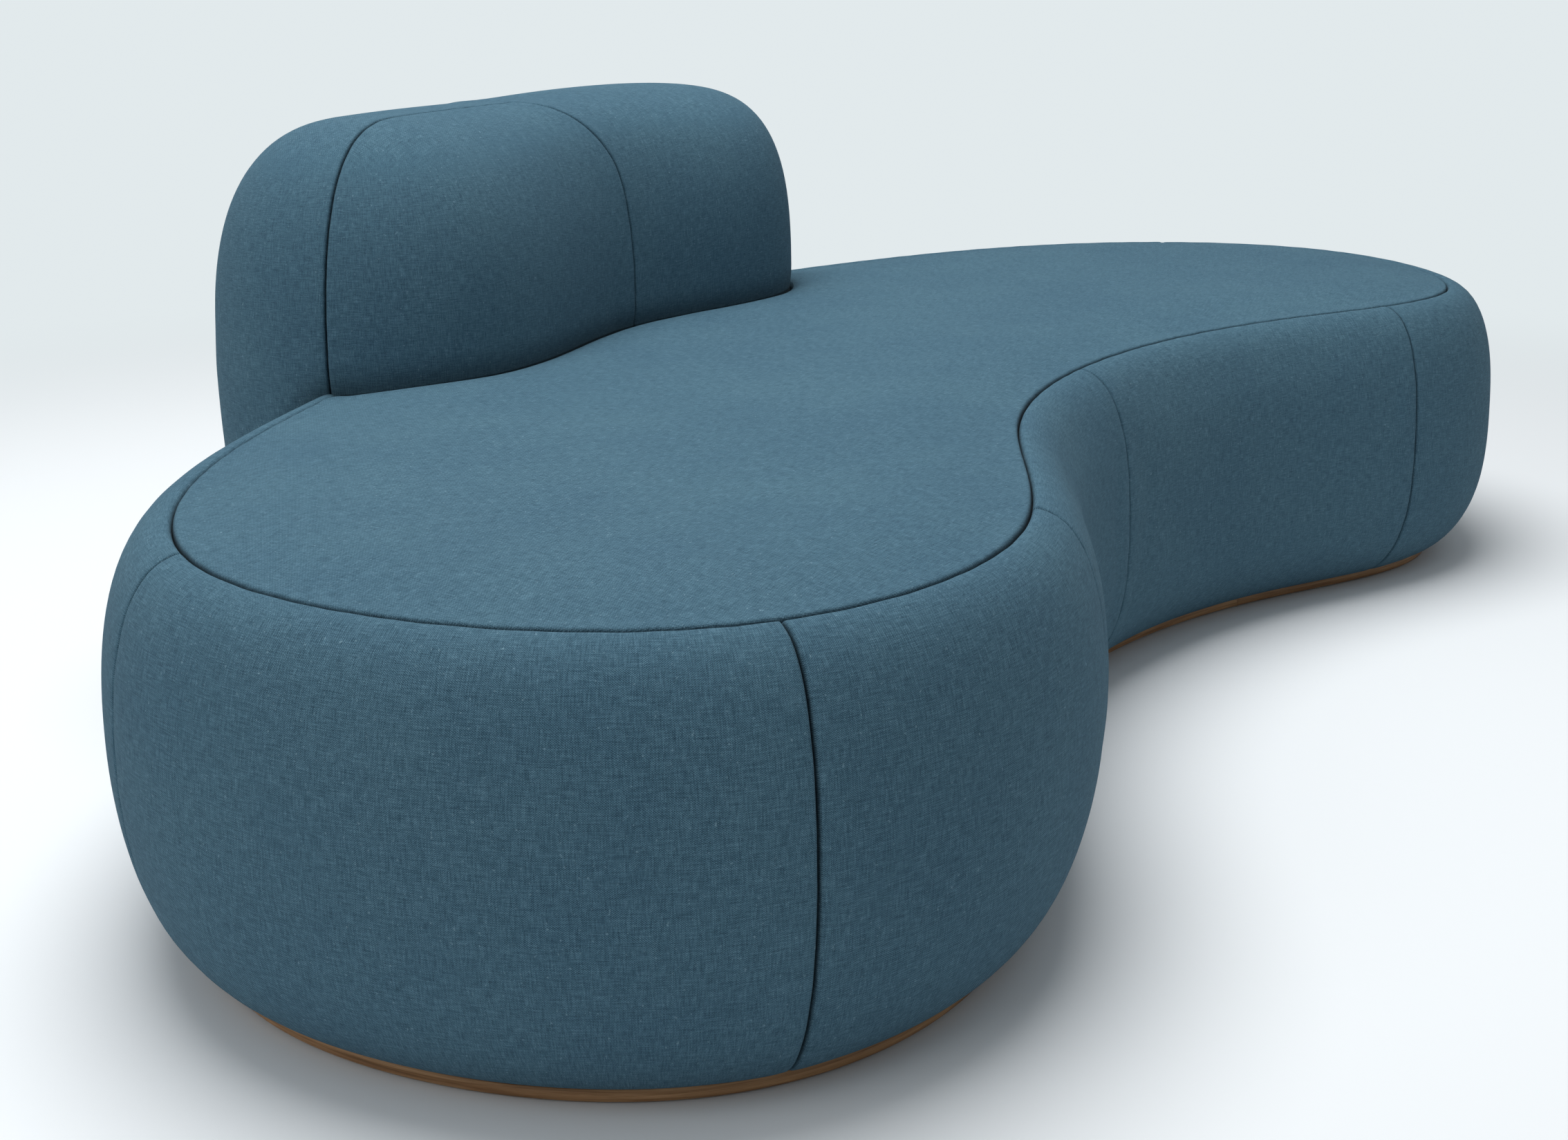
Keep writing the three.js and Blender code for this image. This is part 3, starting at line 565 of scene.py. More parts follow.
def grid_faces(a, b):
    i, j = np.meshgrid(np.arange(a - 1), np.arange(b - 1), indexing="ij")
    here = (i * b + j).ravel()
    return np.stack([here, here + 1, here + b + 1, here + b], 1)


def pad_from(name, outer, inner, faces, gap, cloth_map, top_map=None, flat=None):
    """A padded panel: its cloth, an inner face behind the foam, and edges that close it all round."""
    n, wide = len(outer), faces.shape[1]
    edges = {tuple(e) for k in range(wide) for e in faces[:, [k, (k + 1) % wide]].tolist()}
    rim = sorted((a, b) for a, b in edges if (b, a) not in edges)
    mesh = bpy.data.meshes.new(name)
    mesh.from_pydata(np.vstack([outer, inner]).tolist(), [],
                     faces.tolist() + (faces[:, ::-1] + n).tolist()
                     + [(b, a, a + n, b + n) for a, b in rim])
    corner = np.array([v.vertex_index for v in mesh.loops]) % n
    for label, laid in (("cloth", cloth_map), ("cloth_top", cloth_map if top_map is None else top_map)):
        mesh.uv_layers.new(name=label).data.foreach_set("uv", laid[corner].ravel())
    # Painted shade: the cloth's colour darkens close to its seams, and the hidden inner face is painted
    # fully dark.
    crease = np.r_[np.clip(1.25 * np.exp(-(gap / 0.0010) ** 1.3), 0, 1), np.ones(n)]
    for label, level in (("crease", crease), ("meet", np.ones(2 * n)),
                         ("flat", np.zeros(2 * n) if flat is None else np.r_[flat, flat])):
        mesh.attributes.new(label, "FLOAT", "POINT").data.foreach_set("value", level)
    mesh.shade_smooth()
    mesh.update()
    piece = new_piece(name, mesh)
    piece.data.materials.append(cloth)
    return piece


def places_of(mesh):
    """Where a mesh's points are."""
    co = np.empty(len(mesh.vertices) * 3)
    mesh.vertices.foreach_get("co", co)
    return co.reshape(-1, 3)


def blown_up(points, faces, held):
    """Where a sheet's points go in a cloth simulation with a light pressure, some of them held."""
    mesh = bpy.data.meshes.new("swell")
    mesh.from_pydata(points.tolist(), [], faces.tolist())
    sheet = new_piece("swell", mesh)
    seams = sheet.vertex_groups.new(name="seams")
    seams.add([int(k) for k in np.flatnonzero(held)], 1, "REPLACE")
    made = sheet.modifiers.new("swell", "CLOTH")
    made.settings.quality = 6
    made.settings.mass = 0.35
    made.settings.tension_stiffness = made.settings.compression_stiffness = 22
    made.settings.shear_stiffness, made.settings.bending_stiffness = 8, 1.5
    made.settings.use_pressure, made.settings.uniform_pressure_force = True, 4
    made.settings.vertex_group_mass = "seams"
    made.settings.effector_weights.gravity = 0
    made.collision_settings.use_collision = False
    made.point_cache.frame_start, made.point_cache.frame_end = 1, 20
    for frame_number in range(1, 21):
        bpy.context.scene.frame_set(frame_number)
    moved = places_of(sheet.evaluated_get(bpy.context.evaluated_depsgraph_get()).data)
    bpy.data.objects.remove(sheet)
    bpy.context.scene.frame_set(1)
    return moved


def swell(points, normals, faces, held, places):
    """How far the foam's pressure pushes the cloth out, held at its seams, read off at any places."""
    move = blown_up(points, faces, held) - points
    move -= normals * np.minimum((move * normals).sum(1), 0)[:, None]
    size = np.linalg.norm(move, axis=1)[:, None] + 1e-9
    move *= swell_cap * np.tanh(size / swell_cap) / size
    tree = BVHTree.FromPolygons(points.tolist(), faces.tolist())
    out = np.zeros((len(places), 3))
    for k, place in enumerate(places.tolist()):
        spot, _, face, _ = tree.find_nearest(place)
        corners = faces[face]
        out[k] = np.array(poly_3d_calc([Vector(points[c]) for c in corners], spot)) @ move[corners]
    return out


def near_line(points, line, chunk=1500):
    """Distance from each point to the nearest point of a fine line."""
    out = []
    for k in range(0, len(points), chunk):
        away = points[k:k + chunk, None] - line[None]
        out.append(np.sqrt((away ** 2).sum(2)).min(1))
    return np.concatenate(out)


def weave(tree, uv_map):
    """Yarns that cross each other, uneven in pitch, with slubs both ways."""
    spot = node_of(tree, "ShaderNodeUVMap", uv_map=uv_map).outputs["UV"]
    parts = node_of(tree, "ShaderNodeSeparateXYZ", {0: spot})
    wobble = noise(tree, spot, 14, 3)
    waves = []
    for axis, pitch in ((0, 0.00185), (1, 0.0017)):
        turned = worked(tree, "MULTIPLY", parts.outputs[axis], 2 * math.pi / pitch)
        waves.append(worked(tree, "SINE", worked(tree, "MULTIPLY_ADD", wobble, 22, turned)))
    yarns = worked(tree, "MULTIPLY", *waves)
    for scale, share in (((950, 70, 1), 0.7), ((70, 950, 1), 0.7), ((1500, 1500, 1), 1.0)):
        slub = noise(tree, stretched(tree, spot, scale), 1, 3, Roughness=0.6, Distortion=0.4)
        yarns = worked(tree, "MULTIPLY_ADD", slub, share * 4, yarns)
    return yarns


def stored(tree, attribute):
    return node_of(tree, "ShaderNodeAttribute", attribute_name=attribute).outputs["Fac"]


def woven_cloth():
    """Blue upholstery cloth: a tight weave of flecked yarns, faintly furry, with painted shade in its
    seams and where seat and backrest meet.
    """
    material, tree, shader = new_material("blue_woven_cloth")
    both = node_of(tree, "ShaderNodeMix", {
        0: stored(tree, "flat"), 2: weave(tree, "cloth"), 3: weave(tree, "cloth_top")},
        data_type="FLOAT").outputs[0]
    yarn = ramp(tree, ranged(tree, both, 2.6, 7.0),
                (0.18, (0.021, 0.0505, 0.0745)), (0.40, (0.048, 0.105, 0.149)),
                (0.58, (0.072, 0.1525, 0.210)), (0.85, (0.153, 0.274, 0.348)))
    spot = own_places(tree)
    cloud = noise(tree, spot, 6, 5, Roughness=0.6)
    tint = ramp(tree, cloud, (0.3, (0.90, 0.92, 0.94)), (0.7, (1.06, 1.05, 1.03)))
    toned = blended(tree, 1.0, yarn, tint, "MULTIPLY")
    light = ranged(tree, noise(tree, spot, 330, 1), 0.70, 0.80, 0.0, 0.5)
    flecked = blended(tree, light, toned, (0.23, 0.36, 0.43, 1))
    meet, painted_shade = stored(tree, "meet"), stored(tree, "crease")
    # Painted contact shade: a thin dark line and a soft darkening over a few centimetres where seat and
    # backrest meet.
    for near, far, level in ((0.0008, 0.0036, 0.9), (0.0, 0.045, 0.34)):
        contact_shade = ranged(tree, meet, near, far, level, 0.0, interpolation_type="SMOOTHSTEP")
        painted_shade = worked(tree, "MAXIMUM", painted_shade, contact_shade)
    # The base colour is mixed towards near black by the painted shade.
    fill(tree, shader, {"Base Color": blended(tree, painted_shade, flecked, (0.008, 0.016, 0.022, 1)),
                        "Normal": bumps(tree, both, 0.45, 0.00025),
                        "Roughness": 0.9, "Specular IOR Level": 0.08, "Sheen Weight": 0.03,
                        "Sheen Roughness": 0.5, "Sheen Tint": (0.66, 0.82, 0.92, 1)})
    return material


cloth = woven_cloth()
rows = spread(side_drop, panel_step, both=False)


def side_panel(k):
    start = seam_shares[k] * way_round
    wide = seam_shares[k + 1] * way_round - start
    across = spread(wide, panel_step)
    way = start + across
    place, normal = side_surface(way, rows)
    to_seam = np.minimum(across, wide - across)[:, None]
    gap = np.minimum(to_seam, rows[None])
    deep = np.maximum(turn_in(to_seam), turn_in(rows[None], top_seam_softness)) - proud_lip(gap)
    deep = deep + seam_pucker(way, 0 * way)[:, None] * np.exp(-rows / stitch_pull)[None]
    deep = deep + seam_pucker(rows + k, 0 * rows)[None] * np.exp(-to_seam / stitch_pull)
    far = np.clip((place[:, 0, 0] + 0.6) / 0.5, 0, 1)[:, None]
    low = np.clip((rows / side_drop - 0.3) / 0.7, 0, 1)
    deep = deep - far_fullness * far * np.sin(np.pi * low ** 1.5)[None] ** 2
    deep = deep + near_slack * (1 - far) * np.clip(rows / slack_fade, 0, 1)[None]
    waves = slow_wave(*np.moveaxis(place, 2, 0))
    deep = deep - side_waviness * np.clip(gap / waviness_fade, 0, 1) * waves
    rough_ways = np.linspace(start, start + wide, max(4, round(wide / swell_step)) + 1)
    rough, rough_normal = side_surface(rough_ways, np.linspace(0, side_drop, swell_rows))
    held = np.zeros(rough.shape[:2], bool)
    held[0] = held[-1] = held[:, 0] = held[:, -1] = True
    push = swell(rough.reshape(-1, 3), rough_normal.reshape(-1, 3), grid_faces(*held.shape),
                 held.ravel(), place.reshape(-1, 3)).reshape(place.shape)
    push *= fade_in(gap, swell_fade)[..., None]
    thick = rim_depth + foam_depth * np.sin(np.pi * rows / side_drop) ** 2
    outer = place + push - normal * deep[..., None]
    inner = place - normal * thick[None, :, None]
    laid = np.stack(np.broadcast_arrays(way[:, None], -rows[None]), 2)
    return pad_from(f"seat_side_{k + 1}", outer.reshape(-1, 3), inner.reshape(-1, 3),
                    grid_faces(len(way), len(rows)), gap.ravel(), laid.reshape(-1, 2))


side_panels = [side_panel(k) for k in range(7)]


# The seat's top: one large panel of the same cloth over a crowned foam cushion that lies on
# the deck. It is sewn to the side panels all round, rises from the seam and is almost level
# in the middle.

crown_rise, crown_reach, deck_height = 0.012, 0.150, 0.2762
top_insets = np.array(edge_steps + [0.035, 0.047, 0.06])
back_gaps = (-0.012, -0.004, 0.0, 0.0015, 0.0035, 0.006, 0.010, 0.016, 0.024)
top_step, rough_top_step, top_waviness, top_slack, back_fade = 0.0175, 0.022, 0.0009, 0.003, 0.03


def crown(inset):
    return crown_rise * (1 - (1 - np.clip(inset / crown_reach, 0, 1)) ** 2)


def triangles_over(points, walls, closeness):
    """Triangles over flat points, all turned upwards, that keep to the given walls."""
    _, _, tris, origin, _, _ = delaunay_2d_cdt([Vector(p) for p in points], walls, [], 1, closeness)
    tris = np.array([o[0] if o else -1 for o in origin])[np.array(tris)]
    tris = tris[(tris >= 0).all(1)]
    a, b, c = (points[tris[:, m]] for m in range(3))
    turn = (b - a)[:, 0] * (c - a)[:, 1] - (b - a)[:, 1] * (c - a)[:, 0]
    tris[turn < 0] = tris[turn < 0][:, ::-1]
    return tris[np.abs(turn) > 1e-12]


def filled_ring(ring, step, fixed=np.empty((0, 2))):
    """Loose points in even rows inside a closed ring, some fixed ones, and triangles over all."""
    low, high = ring.min(0), ring.max(0)
    ys = np.arange(low[1], high[1], step * 0.866)
    gx, gy = np.meshgrid(np.arange(low[0], high[0], step), ys)
    gx = gx + (np.arange(len(ys)) % 2)[:, None] * step / 2
    loose = np.stack([gx.ravel(), gy.ravel()], 1)
    loose = loose[inside_loop(loose, ring)]
    loose = loose[near_line(loose, ring) > step * 0.5]
    if len(fixed):
        fixed = fixed[inside_loop(fixed, ring)]
        fixed = fixed[near_line(fixed, ring) > 0.003]
        loose = loose[near_line(loose, fixed) > 0.009]
    n = len(ring)
    points = np.vstack([ring, fixed, loose])
    return points, triangles_over(points, [(k, (k + 1) % n) for k in range(n)], 1e-6)


def top_panel():
    n, rough_n, back_n = 700, 270, 340
    ways, c = round_steps(way_round, n), round_steps(4, back_n)
    point, normal = seat_stations(ways)
    rings = point[None] - normal[None] * top_insets[:, None, None]
    beside_back = np.vstack([back_edge(c)[0] + back_normal(c) * gap for gap in back_gaps])
    middle, tris = filled_ring(rings[-1], top_step, beside_back)
    points = np.vstack([rings[:-1].reshape(-1, 2), middle])
    ring, k = np.meshgrid(np.arange(len(top_insets) - 1), np.arange(n), indexing="ij")
    here, beside = (ring * n + k).ravel(), (ring * n + (k + 1) % n).ravel()
    faces = np.vstack([np.stack([here, beside, beside + n], 1),
                       np.stack([here, beside + n, here + n], 1),
                       tris + (len(top_insets) - 1) * n])
    inset = np.r_[np.repeat(top_insets, n), near_line(middle[n:], fine_line[::4])]
    way = np.r_[np.tile(ways, len(top_insets)), np.zeros(len(middle) - n)]
    high = seam_height + crown(inset) - turn_in(inset) + proud_lip(inset)
    high -= seam_pucker(way, inset) * (inset < top_insets[-1])
    high += top_waviness * np.clip(inset / 0.08, 0, 1) * slow_wave(points[:, 0], points[:, 1], 0.4)
    high -= top_slack * np.clip(inset / slack_fade, 0, 1)
    rough, rough_tris = filled_ring(seat_stations(round_steps(way_round, rough_n))[0], rough_top_step)
    rough_inset = np.r_[np.zeros(rough_n), near_line(rough[rough_n:], fine_line[::4])]
    back_ring = back_edge(round_steps(4, 400))[0]
    held = (np.arange(len(rough)) < rough_n) | inside_loop(rough, back_ring)
    push = swell(np.c_[rough, seam_height + crown(rough_inset)],
                 np.tile((0.0, 0.0, 1.0), (len(rough), 1)), rough_tris, held,
                 np.c_[points, seam_height + crown(inset)])
    off_back = near_line(points, back_ring) * ~inside_loop(points, back_ring)
    push *= (fade_in(inset, swell_fade) * fade_in(off_back, back_fade))[:, None]
    inner = np.c_[points, np.full(len(points), deck_height)]
    return pad_from("seat_top", np.c_[points, high] + push, inner, faces, inset * 0.7, points)


seat_top = top_panel()


# The backrest: three padded panels over one rounded body. A front left panel, a right panel
# that wraps round to the rear, and a rear left panel meet at a T on the top. The seams are
# sewn like the seat's.

back_tuck, shoulder_left, shoulder_right, core_depth = 0.084, 2.65, 3.28, 0.042
columns_each, rows_down, seam_step, longest_way = 400, 420, 0.0055, 0.87
back_waviness, back_slack = 0.0009, 0.0018
part_ways = (0.631, 0.63, 0.647, 0.626)


def back_surface(c, t, grow=0.0):
    """A point of the backrest: t runs 0 to 1 from the ridge down to the widest, then 2 at the foot."""
    edge, spine, share = back_edge(c)
    edge = edge + back_normal(c) * grow
    power = shoulder_left + (shoulder_right - shoulder_left) * share
    up = np.clip(1 - t, 0, 1) * np.pi / 2
    width = np.clip(np.cos(up), 0, 1) ** (2 / power)
    high = back_bulge_height + (back_top + grow - back_bulge_height) * np.sin(up) ** (2 / power)
    flat = spine + (edge - spine) * width[:, None]
    down = np.clip(t - 1, 0, 1) * np.pi / 2
    inset = back_tuck * (1 - np.abs(np.cos(down)) ** (2 / 2.05))
    drop = (back_bulge_height - cloth_foot + grow) * np.sin(down) ** (2 / 2.05)
    flat = np.where((t > 1)[:, None], edge - back_normal(c) * inset[:, None], flat)
    return np.c_[flat, np.where(t > 1, back_bulge_height - drop, high)]


def back_table():
    """The backrest's surface in fine columns, each in even steps down: place, turn and length."""
    turns = np.r_[np.linspace(0, 1, 201), np.linspace(1, 2, 201)[1:]]
    fine = back_surface(np.repeat(columns, len(turns)), np.tile(turns, len(columns)))
    table = []
    for column in fine.reshape(len(columns), len(turns), 3):
        way = way_along(column)
        table.append(read_off(sheet_shares * way[-1], way, np.c_[column, turns]))
        column_length.append(way[-1])
    return np.array(table)


columns, sheet_shares = np.linspace(0, 4, 4 * columns_each + 1), np.linspace(0, 1, rows_down + 1)
column_length = []
sheet, sheet_t = np.split(back_table(), [3], 2)
beside = np.gradient(np.concatenate([sheet[-2:-1], sheet, sheet[1:2]]), axis=0)[1:-1]
sheet_normal = np.cross(np.gradient(sheet, axis=1), beside)
sheet_normal[:, 0] = (0, 0, 1)
sheet_normal = unit(sheet_normal)


def look_up(table, c, share):
    """Values of a fine table of columns and rows, in between its entries too."""
    i, j = (c % 4) * columns_each, np.clip(share, 0, 1) * rows_down
    i0 = np.minimum(i.astype(int), 4 * columns_each - 1)
    j0 = np.minimum(j.astype(int), rows_down - 1)
    u, v = (i - i0)[:, None], (j - j0)[:, None]
    return ((table[i0, j0] * (1 - u) + table[i0 + 1, j0] * u) * (1 - v)
            + (table[i0, j0 + 1] * (1 - u) + table[i0 + 1, j0 + 1] * u) * v)


def column_of(plan):
    """The column on which a place seen from above lies, and its distance from the ridge."""
    left, right = plan - back_left, plan - back_right
    along, across = left @ back_along / back_span, left @ back_across
    turn_right = np.arctan2(right @ back_across, right @ back_along)
    turn_left = np.arctan2(-(left @ back_across), -(left @ back_along))
    c = np.where(across < 0, along, 3 - along)
    c = np.where(along > 1, 1.5 + turn_right / np.pi, np.where(along < 0, 3.5 + turn_left / np.pi, c))
    return c, np.linalg.norm(plan - back_edge(c)[1], axis=1)


def laid_flat(c, share):
    """The backrest laid flat: each column points out from the ridge at its full length."""
    edge, spine, _ = back_edge(c)
    return spine + unit(edge - spine) * (share * np.interp(c % 4, columns, column_length))[:, None]


def stood_up(flat):
    """From a place on the flat lay-out to its column, share and point on the backrest."""
    c, reach = column_of(flat)
    share = reach / np.interp(c % 4, columns, column_length)
    return c, share, look_up(sheet, c, share)


def even_line(points, step, measured=None):
    """A line resampled in even steps, its ends kept; the steps may be measured on another copy."""
    way = way_along(points if measured is None else measured)
    return read_off(np.linspace(0, way[-1], max(2, round(way[-1] / step)) + 1), way, points)


def soft_line(points):
    """A line with its corners rounded off, its ends kept."""
    for _ in range(4):
        near, far = 0.75 * points[:-1] + 0.25 * points[1:], 0.25 * points[:-1] + 0.75 * points[1:]
        points = np.vstack([points[:1], np.stack([near, far], 1).reshape(-1, 2), points[-1:]])
    return points


def seam_path(shares):
    """A seam drawn from above on the backrest's top, carried straight down to the foot."""
    plan = np.array([back_left + a * (back_right - back_left) + b * back_left_radius * back_across
                     for a, b in shares])
    plan = even_line(soft_line(plan), 0.003)
    c, reach = column_of(plan)
    edge, spine, share = back_edge(c)
    power = shoulder_left + (shoulder_right - shoulder_left) * share
    width = np.clip(reach / np.linalg.norm(edge - spine, axis=1), 0, 0.99999)
    t = 1 - np.arccos(width ** (power / 2)) * 2 / np.pi
    down = np.array([np.interp(a, sheet_t[round((b % 4) * columns_each), :, 0], sheet_shares)
                     for a, b in zip(t, c)])
    rest = np.linspace(down[-1], 1, 240)[1:]
    flat = np.vstack([laid_flat(c, down), laid_flat(np.full(len(rest), c[-1]), rest)])
    return even_line(flat, seam_step, stood_up(flat)[2]), c[-1] % 4


meet = (0.404, -0.137)
left_seam, left_c = seam_path([meet, (0.25, -0.14), (0.08, -0.16), (-0.08, -0.2), (-0.2, -0.27),
                               (-0.27, -0.32), (-0.302, -0.343)])
front_seam, front_c = seam_path([meet, (0.447, -0.338), (0.476, -0.488), (0.505, -0.612),
                                 (0.521, -0.687), (0.522, -0.76)])
rear_seam, rear_c = seam_path([meet, (0.404, 0.0), (0.404, 0.9)])
back_seams = [left_seam, front_seam, rear_seam]
seam_lines = [even_line(stood_up(seam)[2], 0.001) for seam in back_seams]


def seam_gaps(places):
    """How far places on the backrest are from each of its seams."""
    return np.stack([near_line(places, line) for line in seam_lines])


def sideways(flat, side, step):
    """A place moved over the surface in a given direction by a true distance."""
    small = 5e-4
    slope = np.stack([(stood_up(flat + push)[2] - stood_up(flat - push)[2]) / (2 * small)
                      for push in (np.array((small, 0)), np.array((0, small)))], 2)
    normal = unit(np.cross(slope[..., 0], slope[..., 1]))
    side = unit(side - (side * normal).sum(1)[:, None] * normal)
    square = np.einsum("nki,nkj->nij", slope, slope) + 1e-6 * np.eye(2)
    pull = np.einsum("nki,nk->ni", slope, side * step)
    return flat + np.linalg.solve(square, pull[..., None])[..., 0], side


def rows_beside(which):
    """Rows of points on both sides of one seam, each nearer to it than to any other seam."""
    seam = back_seams[which]
    c, share, line = stood_up(seam)
    out = unit(np.cross(look_up(sheet_normal, c, share), np.gradient(line, axis=0)))
    lowest = 1 - 0.8 * seam_step / longest_way
    found = []
    for sign in (-1, 1):
        flat, side, last = seam.copy(), out * sign, 0
        for offset in edge_steps[1:]:
            flat, side = sideways(flat, side, offset - last)
            last = offset
            _, share, place = stood_up(flat)
            gaps = seam_gaps(place)
            own = (gaps[which] <= gaps.min(0) + 1e-9) & (gaps[which] > offset * 0.85)
            found.append(flat[own & (share < lowest)])
    return np.vstack(found)


def back_sheet(fine):
    """All points on the flat lay-out, and the triangles between them in three panels."""
    step, count, row_count = (0.0075, 64, 86) if fine else (0.018, 26, 42)
    ends = np.array([left_c, front_c, rear_c])
    base = np.concatenate([k + np.linspace(0, 1, count)[:-1] for k in range(4)])
    away = np.abs((base[:, None] - ends + 2) % 4 - 2).min(1)
    ring_c = np.sort(np.r_[base[away > 0.5 / count], ends])
    foot = laid_flat(ring_c, np.ones(len(ring_c)))
    seams = back_seams if fine else [even_line(s, 0.02, stood_up(s)[2]) for s in back_seams]
    beside_seams = np.vstack([rows_beside(which) for which in range(3)]) if fine else np.empty((0, 2))
    grid = [(s, 0.0) for s in np.linspace(0, 1, count)[1:-1]]
    for share in np.linspace(0, 1, row_count)[1:-1]:
        ring = look_up(sheet, base, np.full(len(base), share))
        last = ring[0] + 1
        for c, p in zip(base, ring):
            if np.linalg.norm(p - last) > step:
                grid.append((c, share))
                last = p
    grid = np.array(grid)
    clear = seam_gaps(look_up(sheet, grid[:, 0], grid[:, 1])).min(0)
    grid = grid[clear > (edge_steps[-1] + 0.004 if fine else 0.010)]
    groups = [foot, seams[0][:-1], seams[1][1:-1], seams[2][1:-1], beside_seams,
              laid_flat(grid[:, 0], grid[:, 1])]
    starts = np.cumsum([0] + [len(g) for g in groups])
    flat = np.vstack(groups)
    n = len(foot)
    walls, chains = [(k, (k + 1) % n) for k in range(n)], []
    for which, end in enumerate(ends):
        chain = list(range(starts[1 + which], starts[2 + which]))
        chain = ([] if which == 0 else [starts[1]]) + chain + [int(np.argmin(np.abs(ring_c - end)))]
        chains.append(chain)
        walls += list(zip(chain[:-1], chain[1:]))
    tris = triangles_over(flat, [(int(a), int(b)) for a, b in walls], 1e-7)
    middle = flat[tris].mean(1)
    label = np.full(len(tris), -1)
    foot_at = [chain[-1] for chain in chains]
    for number, (one, two) in enumerate(((0, 1), (1, 2), (2, 0))):
        between = [(foot_at[one] + k) % n for k in range(1, (foot_at[two] - foot_at[one]) % n)]
        border = chains[one] + between + chains[two][::-1][:-1]
        label[inside_loop(middle, flat[border])] = number
    held = np.zeros(len(flat), bool)
    held[:starts[4]] = True
    return flat, tris, label, held


def sheet_values(flat):
    c, share, place = stood_up(flat)
    return c, share, place, unit(look_up(sheet_normal, c, share))


back_flat, back_tris, back_label, _ = back_sheet(True)
back_c, back_share, back_places, back_normals = sheet_values(back_flat)
back_gap = seam_gaps(back_places).min(0)
back_core = back_surface(back_c, look_up(sheet_t, back_c, back_share)[:, 0], -core_depth)
rough_flat, rough_tris, _, rough_held = back_sheet(False)
_, _, rough_places, rough_normals = sheet_values(rough_flat)
rough_held |= (rough_places[:, 2] < seam_height)
back_push = swell(rough_places, rough_normals, rough_tris, rough_held, back_places)
back_push *= fade_in(back_gap, swell_fade)[:, None]


def back_panel(name, number):
    own = back_tris[back_label == number]
    used = np.unique(own)
    index = np.full(len(back_flat), -1)
    index[used] = np.arange(len(used))
    faces = index[own]
    place, normal, gap = back_places[used], back_normals[used], back_gap[used]
    middle, count = np.zeros_like(place), np.zeros(len(used))
    for m in range(3):
        np.add.at(middle, faces[:, m], place[faces].mean(1))
        np.add.at(count, faces[:, m], 1)
    inward = middle / count[:, None] - place
    inward -= (inward * normal).sum(1)[:, None] * normal
    inward /= np.linalg.norm(inward, axis=1)[:, None] + 1e-9
    shift = np.where((gap < 2e-4)[:, None], inward * edge_gap, 0)
    x, y, z = place.T
    deep = turn_in(gap) - proud_lip(gap) + seam_pucker(z + x, gap)
    waves = slow_wave(x * 1.3, y, z * 1.2)
    deep -= back_waviness * np.clip(gap / waviness_fade, 0, 1) * waves
    above_seat = np.clip((z - seam_height) / 0.05, 0, 1)
    deep += back_slack * np.clip(gap / slack_fade, 0, 1) * above_seat
    outer = place + shift + back_push[used] - normal * deep[:, None]
    c = back_c[used] % 4
    c = np.where(c > 3, c - 4, c) if number == 0 else c
    around = np.interp(c, range(-1, 5), np.cumsum([-part_ways[0], *part_ways, part_ways[0]]))
    laid = np.stack([around, -back_share[used] * longest_way], 1)
    flat = np.clip((normal[:, 2] - 0.55) / 0.3, 0, 1)
    return pad_from(name, outer, back_core[used] + shift, faces, gap, laid, place[:, :2].copy(), flat)


back_front = back_panel("back_front", 0)
back_right_panel = back_panel("back_right", 1)
back_rear = back_panel("back_rear", 2)


# Where the seat meets the backrest: both stand on the base and press together, so the seat's
# foam and cloth are cut to the backrest's shape, the seat dips and the backrest's cloth draws
# in. Each panel keeps its distance from the other side, and the cloth's colour takes a painted
# shade from it: a thin dark line and a soft darkening along the contact.

hair, meeting_scale = 0.0009, 3
tuck_depth, tuck_reach = 0.0045, 0.016
dip_depth, dip_reach, roll_height, roll_place, roll_width = 0.0045, 0.009, 0.0010, 0.035, 0.02


def room_for_back():
    """The backrest's body, grown by a hair, as a closed shape to cut with."""
    c = round_steps(4, 240)
    turns = np.r_[np.linspace(0.04, 1, 36), np.linspace(1, 2, 36)[1:]]
    grid = back_surface(np.repeat(c, len(turns)), np.tile(turns, len(c)), hair)
    grid = grid.reshape(len(c), len(turns), 3)
    foot = grid[:, -1:].copy()
    foot[..., 2] = -0.02
    bm = bmesh.new()
    verts = [[bm.verts.new(p) for p in column] for column in np.concatenate([grid, foot], 1)]
    for here, beside in zip(verts, verts[1:] + verts[:1]):
        for j in range(len(turns)):
            bm.faces.new((here[j], here[j + 1], beside[j + 1], beside[j]))
    bm.faces.new([column[0] for column in verts])
    bm.faces.new([column[-1] for column in verts][::-1])
    bmesh.ops.remove_doubles(bm, verts=bm.verts, dist=1e-6)
    return piece_from(bm, "room_for_back")


def skin_of(panels):
    """The outer faces of some panels, to measure how far other places stand off them."""
    points, faces = [], []
    for panel in panels:
        half = len(panel.data.vertices) // 2
        faces += [[v + len(points) for v in p.vertices]
                  for p in panel.data.polygons if max(p.vertices) < half]
        points += [v.co.copy() for v in panel.data.vertices[:half]]
    return BVHTree.FromPolygons(points, faces)


def mark_meeting(panel, skin, shift=0.0, scale=1.0):
    """Stores how far each place of a panel stands off a skin, less than nought behind it."""
    off = np.zeros(len(panel.data.vertices))
    for k, v in enumerate(panel.data.vertices):
        spot, normal, _, away = skin.find_nearest(v.co)
        off[k] = away if (v.co - spot).dot(normal) > 0 else -away
    panel.data.attributes["meet"].data.foreach_set("value", (off + shift) * scale)
    return off


back_panels = (back_front, back_right_panel, back_rear)
met_by_back = (seat_top, side_panels[5], side_panels[6])
seat_skin, back_skin = skin_of([seat_top, *side_panels]), skin_of(back_panels)
for panel in met_by_back:
    mark_meeting(panel, back_skin, scale=meeting_scale)
for panel in back_panels:
    off = mark_meeting(panel, seat_skin, shift=tuck_depth)
    co = places_of(panel.data)
    tuck = tuck_depth * np.exp(-np.maximum(off, 0) / tuck_reach)
    tuck[len(tuck) // 2:] = 0
    co[:, :2] -= back_normal(column_of(co[:, :2])[0]) * tuck[:, None]
    panel.data.vertices.foreach_set("co", co.ravel())
    panel.data.update()

